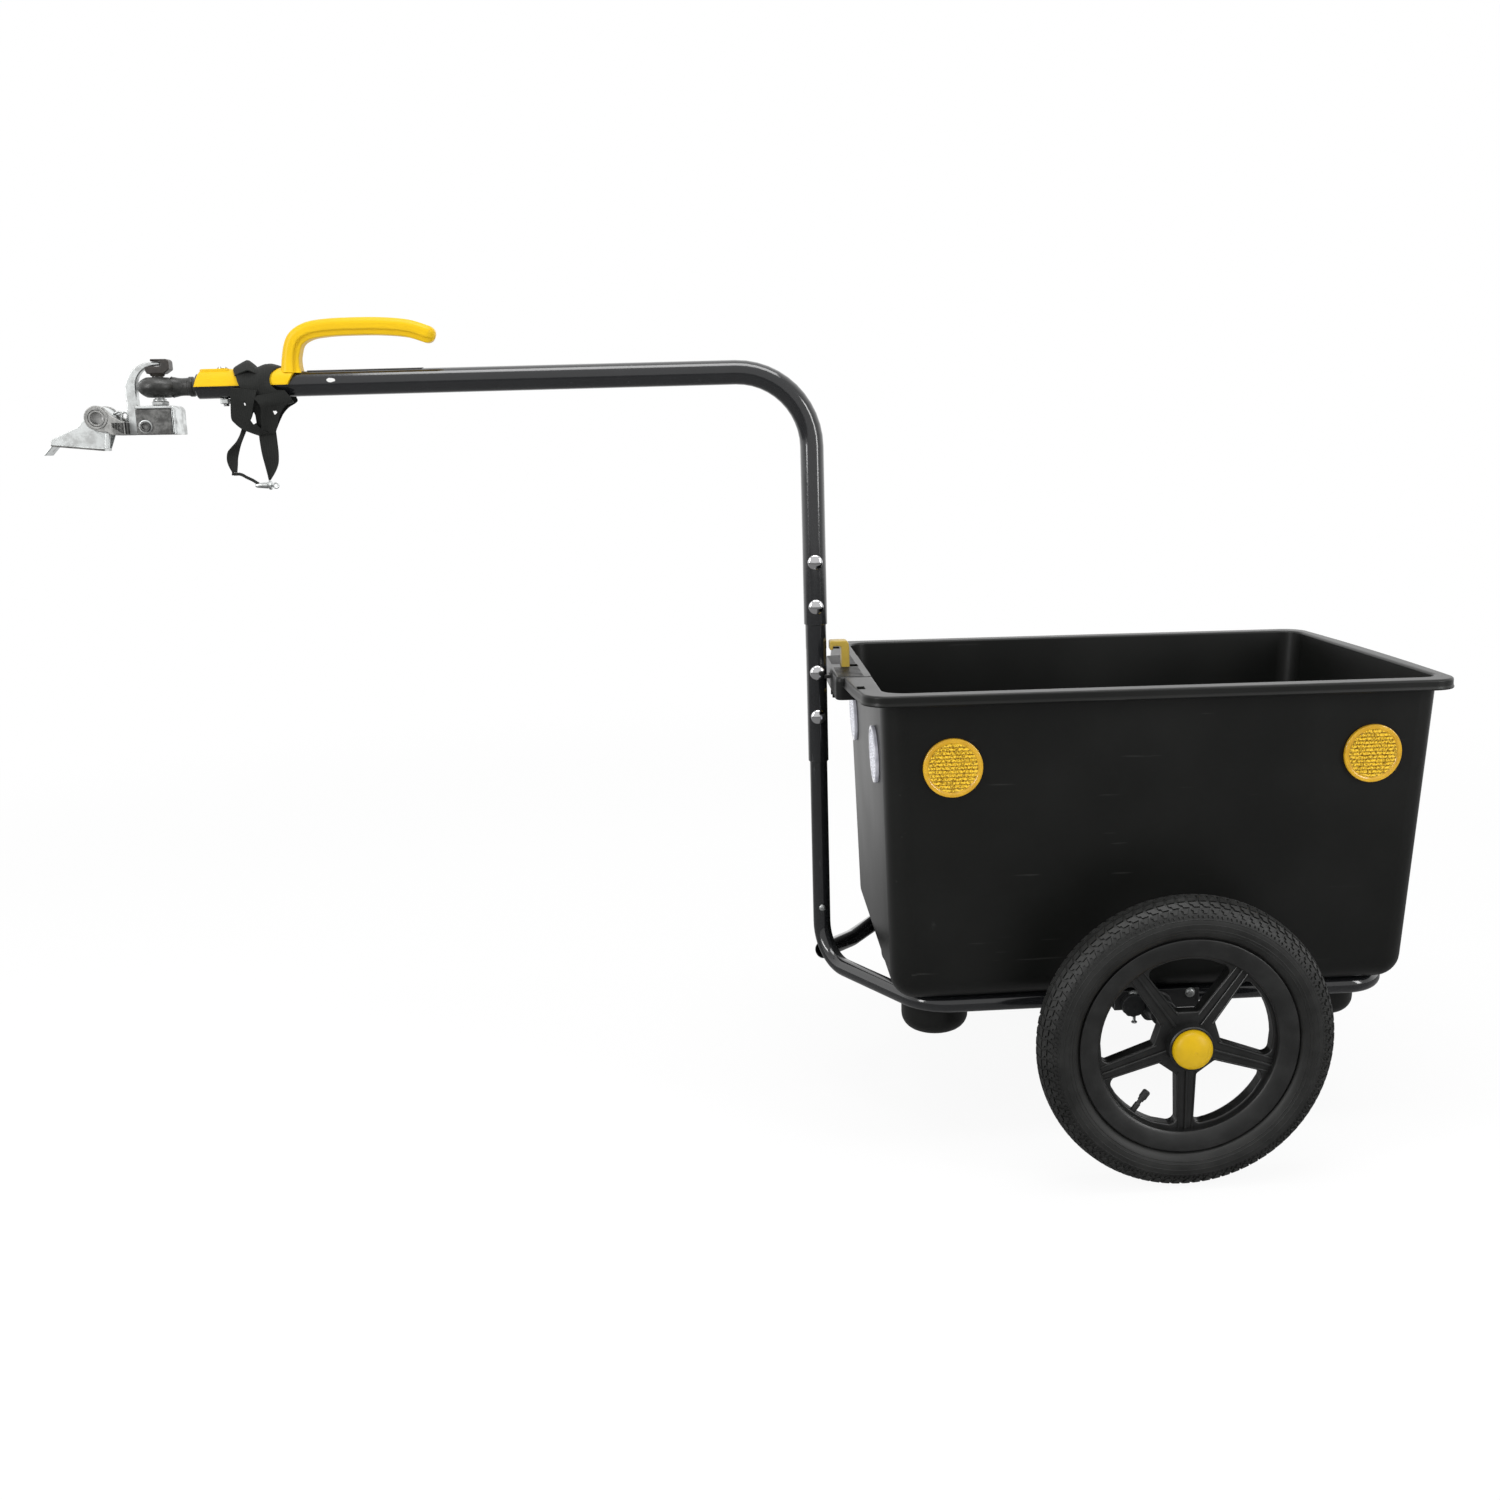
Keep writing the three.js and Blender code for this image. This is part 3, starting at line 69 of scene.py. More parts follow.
def aimed(place, aim, axis="Z"):
    """The turn of an axis into a direction, at a place."""
    return Matrix.Translation(place) @ aim.to_track_quat(axis, "Y").to_matrix().to_4x4()


# The camera stood at the trailer's left, a little above its rim and level with the stem.
# The lens is given in pixels of the square photograph, whose axis lies right of its middle.
CAMERA_PLACE = Vector((-0.0315, -1.6213, 0.7295))
CAMERA_HEADING = 0.086
CAMERA_TILT = 0.2013
CAMERA_ROLL = -0.0171
LENS_PX = 1491.5
PHOTO_PX = 1500
AXIS_PX = 850
SENSOR_MM = 36

forward = Vector((
    sin(CAMERA_HEADING) * cos(CAMERA_TILT),
    cos(CAMERA_HEADING) * cos(CAMERA_TILT),
    -sin(CAMERA_TILT),
))
level = Vector((cos(CAMERA_HEADING), -sin(CAMERA_HEADING), 0))
upright = level.cross(forward)
rightward = level * cos(CAMERA_ROLL) + upright * sin(CAMERA_ROLL)
upward = upright * cos(CAMERA_ROLL) - level * sin(CAMERA_ROLL)
camera = placed("camera", bpy.data.cameras.new("camera"))
turn = Matrix((rightward, upward, -forward)).transposed().to_4x4()
camera.matrix_world = Matrix.Translation(CAMERA_PLACE) @ turn
camera.data.sensor_width = SENSOR_MM
camera.data.lens = SENSOR_MM * LENS_PX / PHOTO_PX
camera.data.shift_x = 0.5 - AXIS_PX / PHOTO_PX
camera.data.clip_start = 0.05
bpy.context.scene.camera = camera
bpy.context.scene.view_settings.view_transform = "Standard"


# A white studio: the floor and the air behind it are white to the camera and keep the object's shadow.
# Glossy surfaces see bright air round the trailer and a darker floor, as in the photograph.
class Socket:
    """A node's output, whose operators add Math nodes."""

    def __init__(self, tree, output):
        self.tree = tree
        self.output = output

    def math(self, operation, *others):
        return self.tree.node("Math", {"operation": operation}, dict(enumerate((self, *others))))

    def __add__(self, other):
        return self.math("ADD", other)

    def __sub__(self, other):
        return self.math("SUBTRACT", other)

    def __rsub__(self, other):
        return self * -1 + other

    def __mul__(self, other):
        return self.math("MULTIPLY", other)

    __radd__ = __add__
    __rmul__ = __mul__

    def between(self, low, high):
        """0 below low, 1 above high, smooth in between."""
        inputs = {"Value": self, "From Min": low, "From Max": high}
        return self.tree.node("MapRange", {"interpolation_type": "SMOOTHSTEP"}, inputs)


class Tree:
    """A node tree that is written as expressions."""

    def __init__(self, tree):
        self.tree = tree

    def node(self, kind, settings=None, inputs=None, output=0):
        made = self.tree.nodes.new(kind if "Node" in kind else "ShaderNode" + kind)
        for setting, value in (settings or {}).items():
            setattr(made, setting, value)
        for place, value in (inputs or {}).items():
            self.feed(made.inputs[place], value)
        return Socket(self, made.outputs[output])

    def feed(self, socket, value):
        if isinstance(value, Socket):
            self.tree.links.new(value.output, socket)
        else:
            socket.default_value = value


class Finish(Tree):
    """A Principled material for a slot, whose patterns read the object's own coordinates."""

    def __init__(self, slot, colour, roughness, metallic=0.0, **constants):
        self.slot = slot
        self.material = bpy.data.materials.new(slot)
        self.material.use_nodes = True
        super().__init__(self.material.node_tree)
        self.shader = self.tree.nodes["Principled BSDF"]
        self.place = self.node("TexCoord", output="Object")
        self.set("Base Color", (*colour, 1))
        self.set("Roughness", roughness)
        self.set("Metallic", metallic)
        for socket, value in constants.items():
            self.set(socket.replace("_", " "), value)

    def set(self, socket, value):
        self.feed(self.shader.inputs[socket], value)

    def noise(self, size, detail=3.0, stretch=(1, 1, 1), rough=0.5):
        """Clouds from 0 to 1 whose spots are about size metres across."""
        place = self.node("Mapping", inputs={"Vector": self.place, "Scale": stretch})
        inputs = {"Vector": place, "Scale": 1 / size, "Detail": detail, "Roughness": rough}
        return self.node("TexNoise", inputs=inputs)

    def mix(self, mask, colour, other):
        """One colour where the mask is 0 and the other where it is 1."""
        inputs = {0: mask}
        for place, value in ((6, colour), (7, other)):
            inputs[place] = value if isinstance(value, Socket) else (*value, 1)
        return self.node("Mix", {"data_type": "RGBA"}, inputs, output=2)

    def paint(self, mask, colour, other):
        """Two base colours that are mixed by a mask."""
        self.set("Base Color", self.mix(mask, colour, other))

    def glow(self, tint):
        """A base colour that is also given off a little as emission, a painted glow that stands in for a reflector
        catching the light.
        """
        self.set("Base Color", tint)
        self.set("Emission Color", tint)

    def bump(self, height, distance):
        self.set("Normal", self.node("Bump", inputs={"Height": height, "Distance": distance, "Strength": 1.0}))


def clouded(name, colour, start, clouds, roughness, tones=None, span=None, grain=None, height=None, **constants):
    """A finish whose clouds vary its roughness (lowest, swing) and mix two tones, with a fine grain."""
    finish = Finish(name, colour, start, **constants)
    cloud = finish.noise(**clouds)
    finish.set("Roughness", roughness[0] + cloud * roughness[1])
    if tones:
        finish.paint(cloud.between(*span) if span else cloud, *tones)
    if height:
        finish.bump(finish.noise(**grain) if grain else cloud, height)
    return finish


FLOOR_HALF, FLOOR_GREY = 7, 0.95
SHADOW_SHARE, SHADOW_REACH = 0.08, 1.4
ROOM_LIGHT = 0.55
GLOSS_FRONT, GLOSS_BACK = 0.85, 1.4
GLOSS_FLOOR, GLOSS_FLOOR_BACK = 0.22, 1.0
TRAILER_MIDDLE = Vector((0.2, 0, 0.4))


def seen_directly(tree, *rays):
    """1 on the kinds of ray that see the studio as plain white."""
    seen = tree.node("LightPath", output=rays[0])
    for ray in rays[1:]:
        seen = seen + tree.node("LightPath", output=ray)
    return seen.math("MINIMUM", 1)


world = bpy.data.worlds.new("studio")
bpy.context.scene.world = world
world.use_nodes = True
air = Tree(world.node_tree)
towards_back = air.node("SeparateXYZ", inputs={0: air.node("TexCoord", output="Generated")}, output="Y")
gloss = towards_back.between(-0.35, 0.25) * (GLOSS_BACK - GLOSS_FRONT) + GLOSS_FRONT
is_gloss = air.node("LightPath", output="Is Glossy Ray")
is_direct = seen_directly(air, "Is Camera Ray", "Is Transmission Ray")
room = (1 - is_gloss) * ROOM_LIGHT + is_gloss * gloss
background = world.node_tree.nodes["Background"]
background.inputs["Color"].default_value = (1, 1, 1, 1)
air.feed(background.inputs["Strength"], is_direct + (1 - is_direct) * room)

floor_mesh = bpy.data.meshes.new("studio_floor")
floor_corners = [(x * FLOOR_HALF, y * FLOOR_HALF, 0) for x, y in ((-1, -1), (1, -1), (1, 1), (-1, 1))]
floor_mesh.from_pydata(floor_corners, [], [(0, 1, 2, 3)])
floor = placed("studio_floor", floor_mesh)
paper = Finish("studio_floor", (FLOOR_GREY,) * 3, 0.9)
lit = paper.node("BsdfDiffuse", inputs={"Color": (*(FLOOR_GREY,) * 3, 1)})
plain = seen_directly(paper, "Is Camera Ray", "Is Transmission Ray")
behind = paper.node("SeparateXYZ", inputs={0: paper.place}, output="Y").between(0.3, 1.8)
floor_gloss = behind * (GLOSS_FLOOR_BACK - GLOSS_FLOOR) + GLOSS_FLOOR
white = paper.node("Emission", inputs={"Color": (1, 1, 1, 1), "Strength": plain + (1 - plain) * floor_gloss})
distance = paper.node("VectorMath", {"operation": "LENGTH"}, {0: paper.place}, output="Value")
shadow_share = (1 - distance.between(SHADOW_REACH, 2 * SHADOW_REACH)) * SHADOW_SHARE
whiteness = seen_directly(paper, "Is Camera Ray", "Is Glossy Ray", "Is Transmission Ray") * (1 - shadow_share)
mixed = paper.node("MixShader", inputs={0: whiteness, 1: lit, 2: white})
paper.feed(paper.tree.nodes["Material Output"].inputs["Surface"], mixed)
floor_mesh.materials.append(paper.material)


def soft_box(name, place, width, height, watts):
    """An area light that faces the middle of the trailer."""
    lamp = bpy.data.lights.new(name, "AREA")
    lamp.shape = "RECTANGLE"
    lamp.size, lamp.size_y, lamp.energy = width, height, watts
    placed(name, lamp).matrix_world = aimed(place, TRAILER_MIDDLE - Vector(place), "-Z")


soft_box("soft_box_left", (-2.2, -1.6, 1.5), 0.5, 1.8, 34)
soft_box("soft_box_right", (2.4, -1.9, 1.4), 0.5, 1.8, 30)
soft_box("soft_box_above", (0.2, -0.5, 2.9), 2.2, 1.0, 42)


# The bin is one moulding of black plastic with sloping walls and a turned-down rim.
# Four hollow feet stand out below its floor, and a housing for the latch stands out in front.
# Its wall is 3 mm thick, its surface is slightly grainy and scuffed from use.
AXLE = 0.41197
RIM_TOP = 0.492
FLOOR = 0.1665
FRONT, REAR, SIDE = 0.289, 0.282, 0.197
FRONT_DRAFT, REAR_DRAFT, SIDE_DRAFT = 0.01, 0.018, 0.012
WALL = 0.003
TUB_CORNER = 0.026
FLOOR_ROUND = 0.025
RIM_FRONT, RIM_REAR, RIM_SIDE = 0.309, 0.293, 0.215
RIM_FRONT_BOW, RIM_REAR_BOW = 0.01, 0.004
RIM_CORNER = 0.028
LIP = 0.011
EDGE = 0.0025
CORNER_STEPS = SIDE_STEPS = 8


def mm(*points):
    """Points that are given in millimetres, in metres."""
    return [tuple(value / 1000 for value in point) for point in points]


def arc(x, y, radius, start, end, steps):
    """Points of an arc whose ends are given in degrees."""
    angles = [radians(start + (end - start) * i / steps) for i in range(steps + 1)]
    return [(x + radius * cos(a), y + radius * sin(a)) for a in angles]


def circle(radius, sides=40):
    return arc(0, 0, radius, 0, 360, sides)[:-1]


def at_height(outline, height):
    return [Vector((x, y, height)) for x, y in outline]


def level_ring(front, rear, side, radius, height, front_bow=0.0, rear_bow=0.0):
    """A level rectangle round the bin with round corners, whose ends may be bowed out."""
    across, behind, before = side - radius, rear - radius, radius - front
    corners = ((behind, across), (before, across), (before, -across), (behind, -across))
    bows = (0, -front_bow, 0, rear_bow)
    ring = []
    for i, (x, y) in enumerate(corners):
        ring += arc(x, y, radius, 90 * i, 90 * i + 90, CORNER_STEPS)
        start = Vector(ring[-1])
        next_x, next_y = corners[(i + 1) % 4]
        end = Vector(arc(next_x, next_y, radius, 90 * i + 90, 0, 1)[0])
        for step in range(1, SIDE_STEPS):
            share = step / SIDE_STEPS
            point = start.lerp(end, share)
            ring.append((point.x + bows[i] * (1 - (2 * share - 1) ** 2), point.y))
    return at_height([(AXLE + x, y) for x, y in ring], height)


def tub_ring(inset, height):
    """A ring of the sloping wall, whose foot is rounded into the floor."""
    radius = FLOOR_ROUND - inset
    bottom = FLOOR + inset
    down = (RIM_TOP - height) / (RIM_TOP - FLOOR)
    above = max(0.0, bottom + radius - height)
    inward = inset + radius - sqrt(max(0.0, radius ** 2 - above ** 2))
    return level_ring(
        FRONT - down * FRONT_DRAFT - inward, REAR - down * REAR_DRAFT - inward,
        SIDE - down * SIDE_DRAFT - inward, TUB_CORNER - inward, height,
    )


def rim_ring(inset, height):
    """A ring of the rim, bowed at the front and a little at the rear."""
    return level_ring(
        RIM_FRONT - inset, RIM_REAR - inset, RIM_SIDE - inset, RIM_CORNER - inset, height,
        RIM_FRONT_BOW, RIM_REAR_BOW,
    )


def tub_rows(inset, top):
    """Rings from the middle of the floor's rounding up to a height."""
    radius = FLOOR_ROUND - inset
    rounding = [FLOOR + inset + radius * (1 - cos(radians(angle))) for angle in range(0, 91, 10)]
    upper = [rounding[-1] + (top - rounding[-1]) * share for share in (0.02, 0.25, 0.5, 0.75, 1)]
    return [tub_ring(inset, height) for height in rounding + upper]


def loft(rows, closed=False):
    """Points and faces of a skin over rings of equal count; its ends are capped unless it is closed."""
    count = len(rows[0])
    points = [point for row in rows for point in row]
    faces = []
    for i in range(len(rows) if closed else len(rows) - 1):
        here, there = i * count, (i + 1) % len(rows) * count
        for j in range(count):
            k = (j + 1) % count
            faces.append((here + j, here + k, there + k, there + j))
    if not closed:
        faces.append(tuple(range(count))[::-1])
        faces.append(tuple(range(len(points) - count, len(points))))
    return points, faces


def turned(profile, sides=48, closed=False):
    """A body turned about Z from [radius, height] pairs; its ends are capped unless it is closed."""
    return loft([at_height(circle(radius, sides), height) for radius, height in profile], closed)


def moved(part, matrix):
    """The same faces with each point moved by a matrix."""
    return [matrix @ Vector(point) for point in part[0]], part[1]


def mesh_of(part):
    """A mesh without double points and with its faces turned outward."""
    mesh = bpy.data.meshes.new("part")
    mesh.from_pydata([tuple(point) for point in part[0]], [], part[1])
    work = bmesh.new()
    work.from_mesh(mesh)
    bmesh.ops.remove_doubles(work, verts=work.verts, dist=0.00001)
    bmesh.ops.recalc_face_normals(work, faces=work.faces)
    work.to_mesh(mesh)
    work.free()
    return mesh


def part_of(mesh):
    """Points and faces of a mesh."""
    return [v.co.copy() for v in mesh.vertices], [tuple(p.vertices) for p in mesh.polygons]


def evaluated(data, modify=None):
    """The mesh of a mesh or curve, after modifiers that a function adds to it."""
    holder = placed("holder", data)
    if modify:
        modify(holder)
    bpy.context.view_layer.update()
    graph = bpy.context.evaluated_depsgraph_get()
    result = bpy.data.meshes.new_from_object(holder.evaluated_get(graph))
    bpy.data.objects.remove(holder)
    return result


def combined(operation, part, *others):
    """A solid joined with others (UNION) or cut by them (DIFFERENCE)."""
    tools = []

    def modify(holder):
        for other in others:
            tools.append(placed("tool", mesh_of(other)))
            tools[-1].hide_render = True
            modifier = holder.modifiers.new("combine", "BOOLEAN")
            modifier.operation = operation
            modifier.solver = "EXACT"
            modifier.object = tools[-1]

    part = part_of(evaluated(mesh_of(part), modify))
    for tool in tools:
        bpy.data.objects.remove(tool)
    return part


def box_ring(x0, x1, y0, y1, radius, height, steps=6):
    """A level rounded rectangle between four sides."""
    corners = ((x1, y1, -1, -1), (x0, y1, 1, -1), (x0, y0, 1, 1), (x1, y0, -1, 1))
    ring = []
    for i, (x, y, in_x, in_y) in enumerate(corners):
        ring += arc(x + in_x * radius, y + in_y * radius, radius, 90 * i, 90 * i + 90, steps)
    return at_height(ring, height)


def brick(x0, x1, y0, y1, z0, z1, corner=0.001, edge=0.0005):
    """A block with rounded upright corners and rounded top and bottom edges."""
    rows = []
    for base, sign in ((z0, 1), (z1, -1)):
        rounding = arc(0, 0, edge, 0, 90, 3)
        for out, up in rounding if sign > 0 else rounding[::-1]:
            inset = edge - up
            height = base + sign * (edge - out)
            rows.append(box_ring(x0 + inset, x1 - inset, y0 + inset, y1 - inset, corner, height, 4))
    return loft(rows)


def washer(inner, outer, z0, z1, sides):
    """A flat ring round Z."""
    return turned([(inner, z0), (outer, z0), (outer, z1), (inner, z1)], sides, closed=True)


def disc(radius, z0, z1, sides):
    """A round plug about Z."""
    return turned([(0.0005, z0), (radius, z0), (radius, z1), (0.0005, z1)], sides)


def dress(name, part, finish, body="trailer", at=None, replaces=None, sharp=35):
    """A finished piece on its body. It replaces the CAD node of its own name, unless others are given."""
    mesh = mesh_of(moved(part, at) if at else part)
    mesh.shade_smooth()
    mesh.set_sharp_from_angle(angle=radians(sharp))

    def modify(holder):
        holder.modifiers.new("normals", "WEIGHTED_NORMAL").keep_sharp = True

    mesh = evaluated(mesh, modify)
    mesh.name = name
    mesh.materials.clear()
    mesh.materials.append(finish.material)
    piece = placed(name, mesh)
    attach(piece, body)
    replaces = (name,) if replaces is None else replaces
    if replaces:
        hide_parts(*replaces)
    return piece


def tree_of_copies():
    """Copies of a mesh in a row, in a ring, or in bricked rows within a radius."""
    group = bpy.data.node_groups.new("copies", "GeometryNodeTree")
    for name, kind in (
        ("Mesh", "Geometry"), ("Columns", "Int"), ("Rows", "Int"), ("Column Step", "Vector"), ("Row Step", "Vector"),
        ("Brick Shift", "Float"), ("Turn", "Vector"), ("Reach", "Float"), ("Finish", "Material"),
    ):
        group.interface.new_socket(name, in_out="INPUT", socket_type="NodeSocket" + kind)
    group.interface.new_socket("Mesh", in_out="OUTPUT", socket_type="NodeSocketGeometry")
    tree = Tree(group)
    given = group.nodes.new("NodeGroupInput")
    value = {socket.name: Socket(tree, socket) for socket in given.outputs if socket.name}
    index = tree.node("GeometryNodeInputIndex")
    row = (index.math("DIVIDE", value["Columns"])).math("FLOOR")
    column = index.math("MODULO", value["Columns"])
    odd = row.math("MODULO", 2)
    scaled = []
    for kind, place, shift in (("Column", column, odd * value["Brick Shift"]), ("Row", row, 0)):
        centred = place - (value[kind + "s"] - 1) * 0.5 + shift
        inputs = {0: value[kind + " Step"], "Scale": centred}
        scaled.append(tree.node("VectorMath", {"operation": "SCALE"}, inputs))
    place = tree.node("VectorMath", {"operation": "ADD"}, {0: scaled[0], 1: scaled[1]})
    inputs = {"Count": value["Columns"] * value["Rows"], "Position": place}
    points = tree.node("GeometryNodePoints", inputs=inputs)
    position = tree.node("GeometryNodeInputPosition")
    distance = tree.node("VectorMath", {"operation": "LENGTH"}, {0: position}, output="Value")
    inputs = {"A": distance, "B": value["Reach"]}
    beyond = tree.node("FunctionNodeCompare", {"operation": "GREATER_THAN"}, inputs, output="Result")
    kept = tree.node("GeometryNodeDeleteGeometry", inputs={"Geometry": points, "Selection": beyond})
    turn_by = tree.node("VectorMath", {"operation": "SCALE"}, {0: value["Turn"], "Scale": index})
    inputs = {"Points": kept, "Instance": value["Mesh"], "Rotation": turn_by}
    copies = tree.node("GeometryNodeInstanceOnPoints", inputs=inputs)
    real = tree.node("GeometryNodeRealizeInstances", inputs={"Geometry": copies})
    done = tree.node("GeometryNodeSetMaterial", inputs={"Geometry": real, "Material": value["Finish"]})
    tree.feed(group.nodes.new("NodeGroupOutput").inputs[0], done)
    return group


COPIES = tree_of_copies()


def copied(
    part, finish, columns, column_step=(0, 0, 0), rows=1, row_step=(0, 0, 0), shift=0.0, turn=(0, 0, 0), reach=9.0,
):
    """Points and faces of a part's copies, made by the tree of copies."""
    inputs = {
        "Columns": columns, "Rows": rows, "Column Step": column_step, "Row Step": row_step,
        "Brick Shift": shift, "Turn": turn, "Reach": reach, "Finish": finish.material,
    }

    def modify(holder):
        modifier = holder.modifiers.new("copies", "NODES")
        modifier.node_group = COPIES
        for item in COPIES.interface.items_tree:
            if item.in_out == "INPUT" and item.name in inputs:
                modifier[item.identifier] = inputs[item.name]

    return part_of(evaluated(mesh_of(part), modify))


def together(*parts):
    """Several parts as one set of points and faces."""
    points, faces = [], []
    for part_points, part_faces in parts:
        start = len(points)
        points += part_points
        faces += [tuple(start + i for i in face) for face in part_faces]
    return points, faces


def shift(x, y, z):
    return Matrix.Translation((x, y, z))


lip_bottom = RIM_TOP - LIP
bead, set_back = 0.0015, 0.0009
rows = tub_rows(0, RIM_TOP - WALL)
rows += [rim_ring(WALL + 0.001, RIM_TOP - WALL), rim_ring(WALL, RIM_TOP - WALL - 0.001)]
rows += [rim_ring(bead - out, lip_bottom + bead + up) for out, up in arc(0, 0, bead, 180, 360, 6)]
rows += [rim_ring(0.0007, lip_bottom + 0.0032), rim_ring(set_back, lip_bottom + 0.0045)]
rows += [rim_ring(set_back + EDGE - out, RIM_TOP - EDGE + up) for out, up in arc(0, 0, EDGE, 0, 90, 5)]
rows += [rim_ring(set_back + EDGE + 0.002, RIM_TOP)]
inner = tub_rows(WALL, RIM_TOP - EDGE)[::-1]
rows += [tub_ring(-0.002, RIM_TOP), tub_ring(0.0005, RIM_TOP)]
rows += [tub_ring(WALL - 0.0008, RIM_TOP - 0.0006), tub_ring(WALL - 0.0001, RIM_TOP - 0.0016)]
rows += inner
tub = loft(rows)

FOOT, FOOT_BOTTOM, FOOT_EDGE = 0.036, 0.108, 0.017
FOOT_X = (-0.225, 0.206)
FOOT_Y = 0.1


def foot_cup(x, y, inset, top):
    """A round cup below the floor."""
    radius = FOOT - inset
    edge = FOOT_EDGE - inset / 2
    rounding = arc(radius - edge, FOOT_BOTTOM + inset + edge, edge, 270, 360, 8)
    return moved(turned([(0.002, FOOT_BOTTOM + inset), *rounding, (radius, top)]), shift(AXLE + x, y, 0))


LEDGE_FRONT, LEDGE_REAR, LEDGE_HALF, LEDGE_DEPTH = -0.325, -0.287, 0.085, 0.024
ledge_rows = []
for out, up in mm((1.5, -24), (0.4, -23.2), (0, -22), (0, -5), (0, -4), (0.5, -1.7), (1.4, -0.3), (3, 0.5)):
    half = LEDGE_HALF - out
    ledge_rows.append(box_ring(AXLE + LEDGE_FRONT + out, AXLE + LEDGE_REAR, -half, half, 0.008 - out, RIM_TOP + up))
spots = [(x, y) for x in FOOT_X for y in (-FOOT_Y, FOOT_Y)]
shell = combined("UNION", tub, loft(ledge_rows), *[foot_cup(x, y, 0, FLOOR + 0.001) for x, y in spots])

LATCH_HALF, GAP = 0.009, 0.0005
CATCH_BOTTOM, CATCH_TOP, CATCH_END, CATCH_HALF = 0.48, 0.484, AXLE - 0.314, 0.0085
SLOT_X, SLOT_Y = -0.305, 0.154
slot = [
    brick(AXLE + SLOT_X - 0.004, AXLE + SLOT_X + 0.004, y - 0.009, y + 0.009, RIM_TOP - 0.006, RIM_TOP + 0.003)
    for y in (-SLOT_Y, SLOT_Y)
]
half = LATCH_HALF + GAP
latch_slot = brick(AXLE - 0.3125, AXLE - 0.2935, -half, half, RIM_TOP - 0.012, RIM_TOP + 0.003)
half = LEDGE_HALF - WALL
hollow_x = AXLE + LEDGE_FRONT + WALL, AXLE + LEDGE_REAR - 0.005
hollow = brick(*hollow_x, -half, half, RIM_TOP - LEDGE_DEPTH - 0.004, RIM_TOP - WALL, corner=0.005)
half = CATCH_HALF + GAP
catch_slit = brick(AXLE - 0.33, AXLE - 0.3215, -half, half, CATCH_BOTTOM - 0.0008, CATCH_TOP + GAP)
shell = combined("DIFFERENCE", shell, hollow, latch_slot, catch_slit, *slot, *[
    foot_cup(x, y, WALL, FLOOR + 0.02) for x, y in spots
])
cheeks = [
    brick(AXLE - 0.323, AXLE - 0.288, y - 0.0015, y + 0.0015, 0.459, RIM_TOP - 0.002) for y in (-0.011, 0.011)
]
shell = combined("UNION", shell, *cheeks)

plastic = Finish("bin_plastic", (0.005, 0.0052, 0.0048), 0.42, Specular_IOR_Level=0.26)
cloud = plastic.noise(0.12, detail=4.0)
grain = plastic.noise(0.0011, detail=2.0)
scratch = plastic.noise(0.004, stretch=(0.06, 1, 1), detail=2.0).between(0.7, 0.76)
scuff = plastic.noise(0.02, stretch=(1, 1, 0.4), detail=6.0, rough=0.7).between(0.66, 0.8) * cloud.between(0.5, 0.62)
plastic.set("Roughness", 0.32 + cloud * 0.12 + scuff * 0.15)
dusty = plastic.mix(cloud.between(0.3, 0.8), (0.004, 0.0043, 0.0038), (0.0065, 0.0068, 0.0062))
plastic.paint(scratch * 0.4 + scuff * 0.5, dusty, (0.035, 0.036, 0.034))
plastic.bump(grain * 0.6 + scratch * -0.8, 0.00002)
dress("bin", shell, plastic)

# Fine ribs on the housing's top, moulded with it, in two groups beside the latch.
RIB_STEP, RIB_GROUP = 0.009, 0.0475
rib = brick(AXLE - 0.3215, AXLE - 0.2945, -0.0006, 0.0006, RIM_TOP, RIM_TOP + 0.0009, 0.0005, 0.0002)
ribs = [moved(copied(rib, plastic, 8, (0, RIB_STEP, 0)), shift(0, y, 0)) for y in (-RIB_GROUP, RIB_GROUP)]
dress("ledge_ribs", together(*ribs), plastic, replaces=())


# Eight round reflectors are pressed on to the walls: amber on the sides, clear in front, red behind.
# Each is a clear plastic cup with a smooth edge, whose field is filled with bricked rows of small prisms.
REFLECTOR, REFLECTOR_THICK, REFLECTOR_HEIGHT = 0.03, 0.004, 0.416
PRISM_LONG, PRISM_HIGH = 0.005, 0.0038
FIELD = 0.0248


def lens_finish(name, colour, deep):
    """Glossy clear plastic that is a little cloudy, whose colour also glows a little, a painted glow for the light it
    throws back.
    """
    lens = Finish(name, colour, 0.12, Coat_Weight=0.5, Coat_Roughness=0.08, Emission_Strength=0.18)
    clouded = lens.noise(0.012)
    lens.glow(lens.mix(clouded.between(0.35, 0.65), deep, colour))
    lens.set("Roughness", 0.14 + clouded * 0.12)
    return lens


def field_finish(name, colour, deep):
    """Prisms painted with the light they throw back: bright painted glints, rows painted lighter in their middles
    with painted shade between them, and a painted glow.
    """
    field = Finish(name, colour, 0.2, Emission_Strength=0.3)
    painted_glints = field.noise(0.0016, detail=1.0).between(0.38, 0.54)
    height = field.node("SeparateXYZ", inputs={0: field.place}, output="Z")
    row = ((height - REFLECTOR_HEIGHT) * (1 / PRISM_HIGH) + 40.5).math("FRACT")
    # Each prism row is painted lighter in its middle and darker at its edges, which is painted shade between the
    # rows.
    painted_row_light = row.between(0.0, 0.32) * (1 - row.between(0.68, 1.0))
    field.glow(field.mix(painted_glints * 0.3 + (painted_glints * 0.45 + 0.25) * painted_row_light, deep, colour))
    field.set("Roughness", 0.2 + painted_glints * 0.15)
    return field


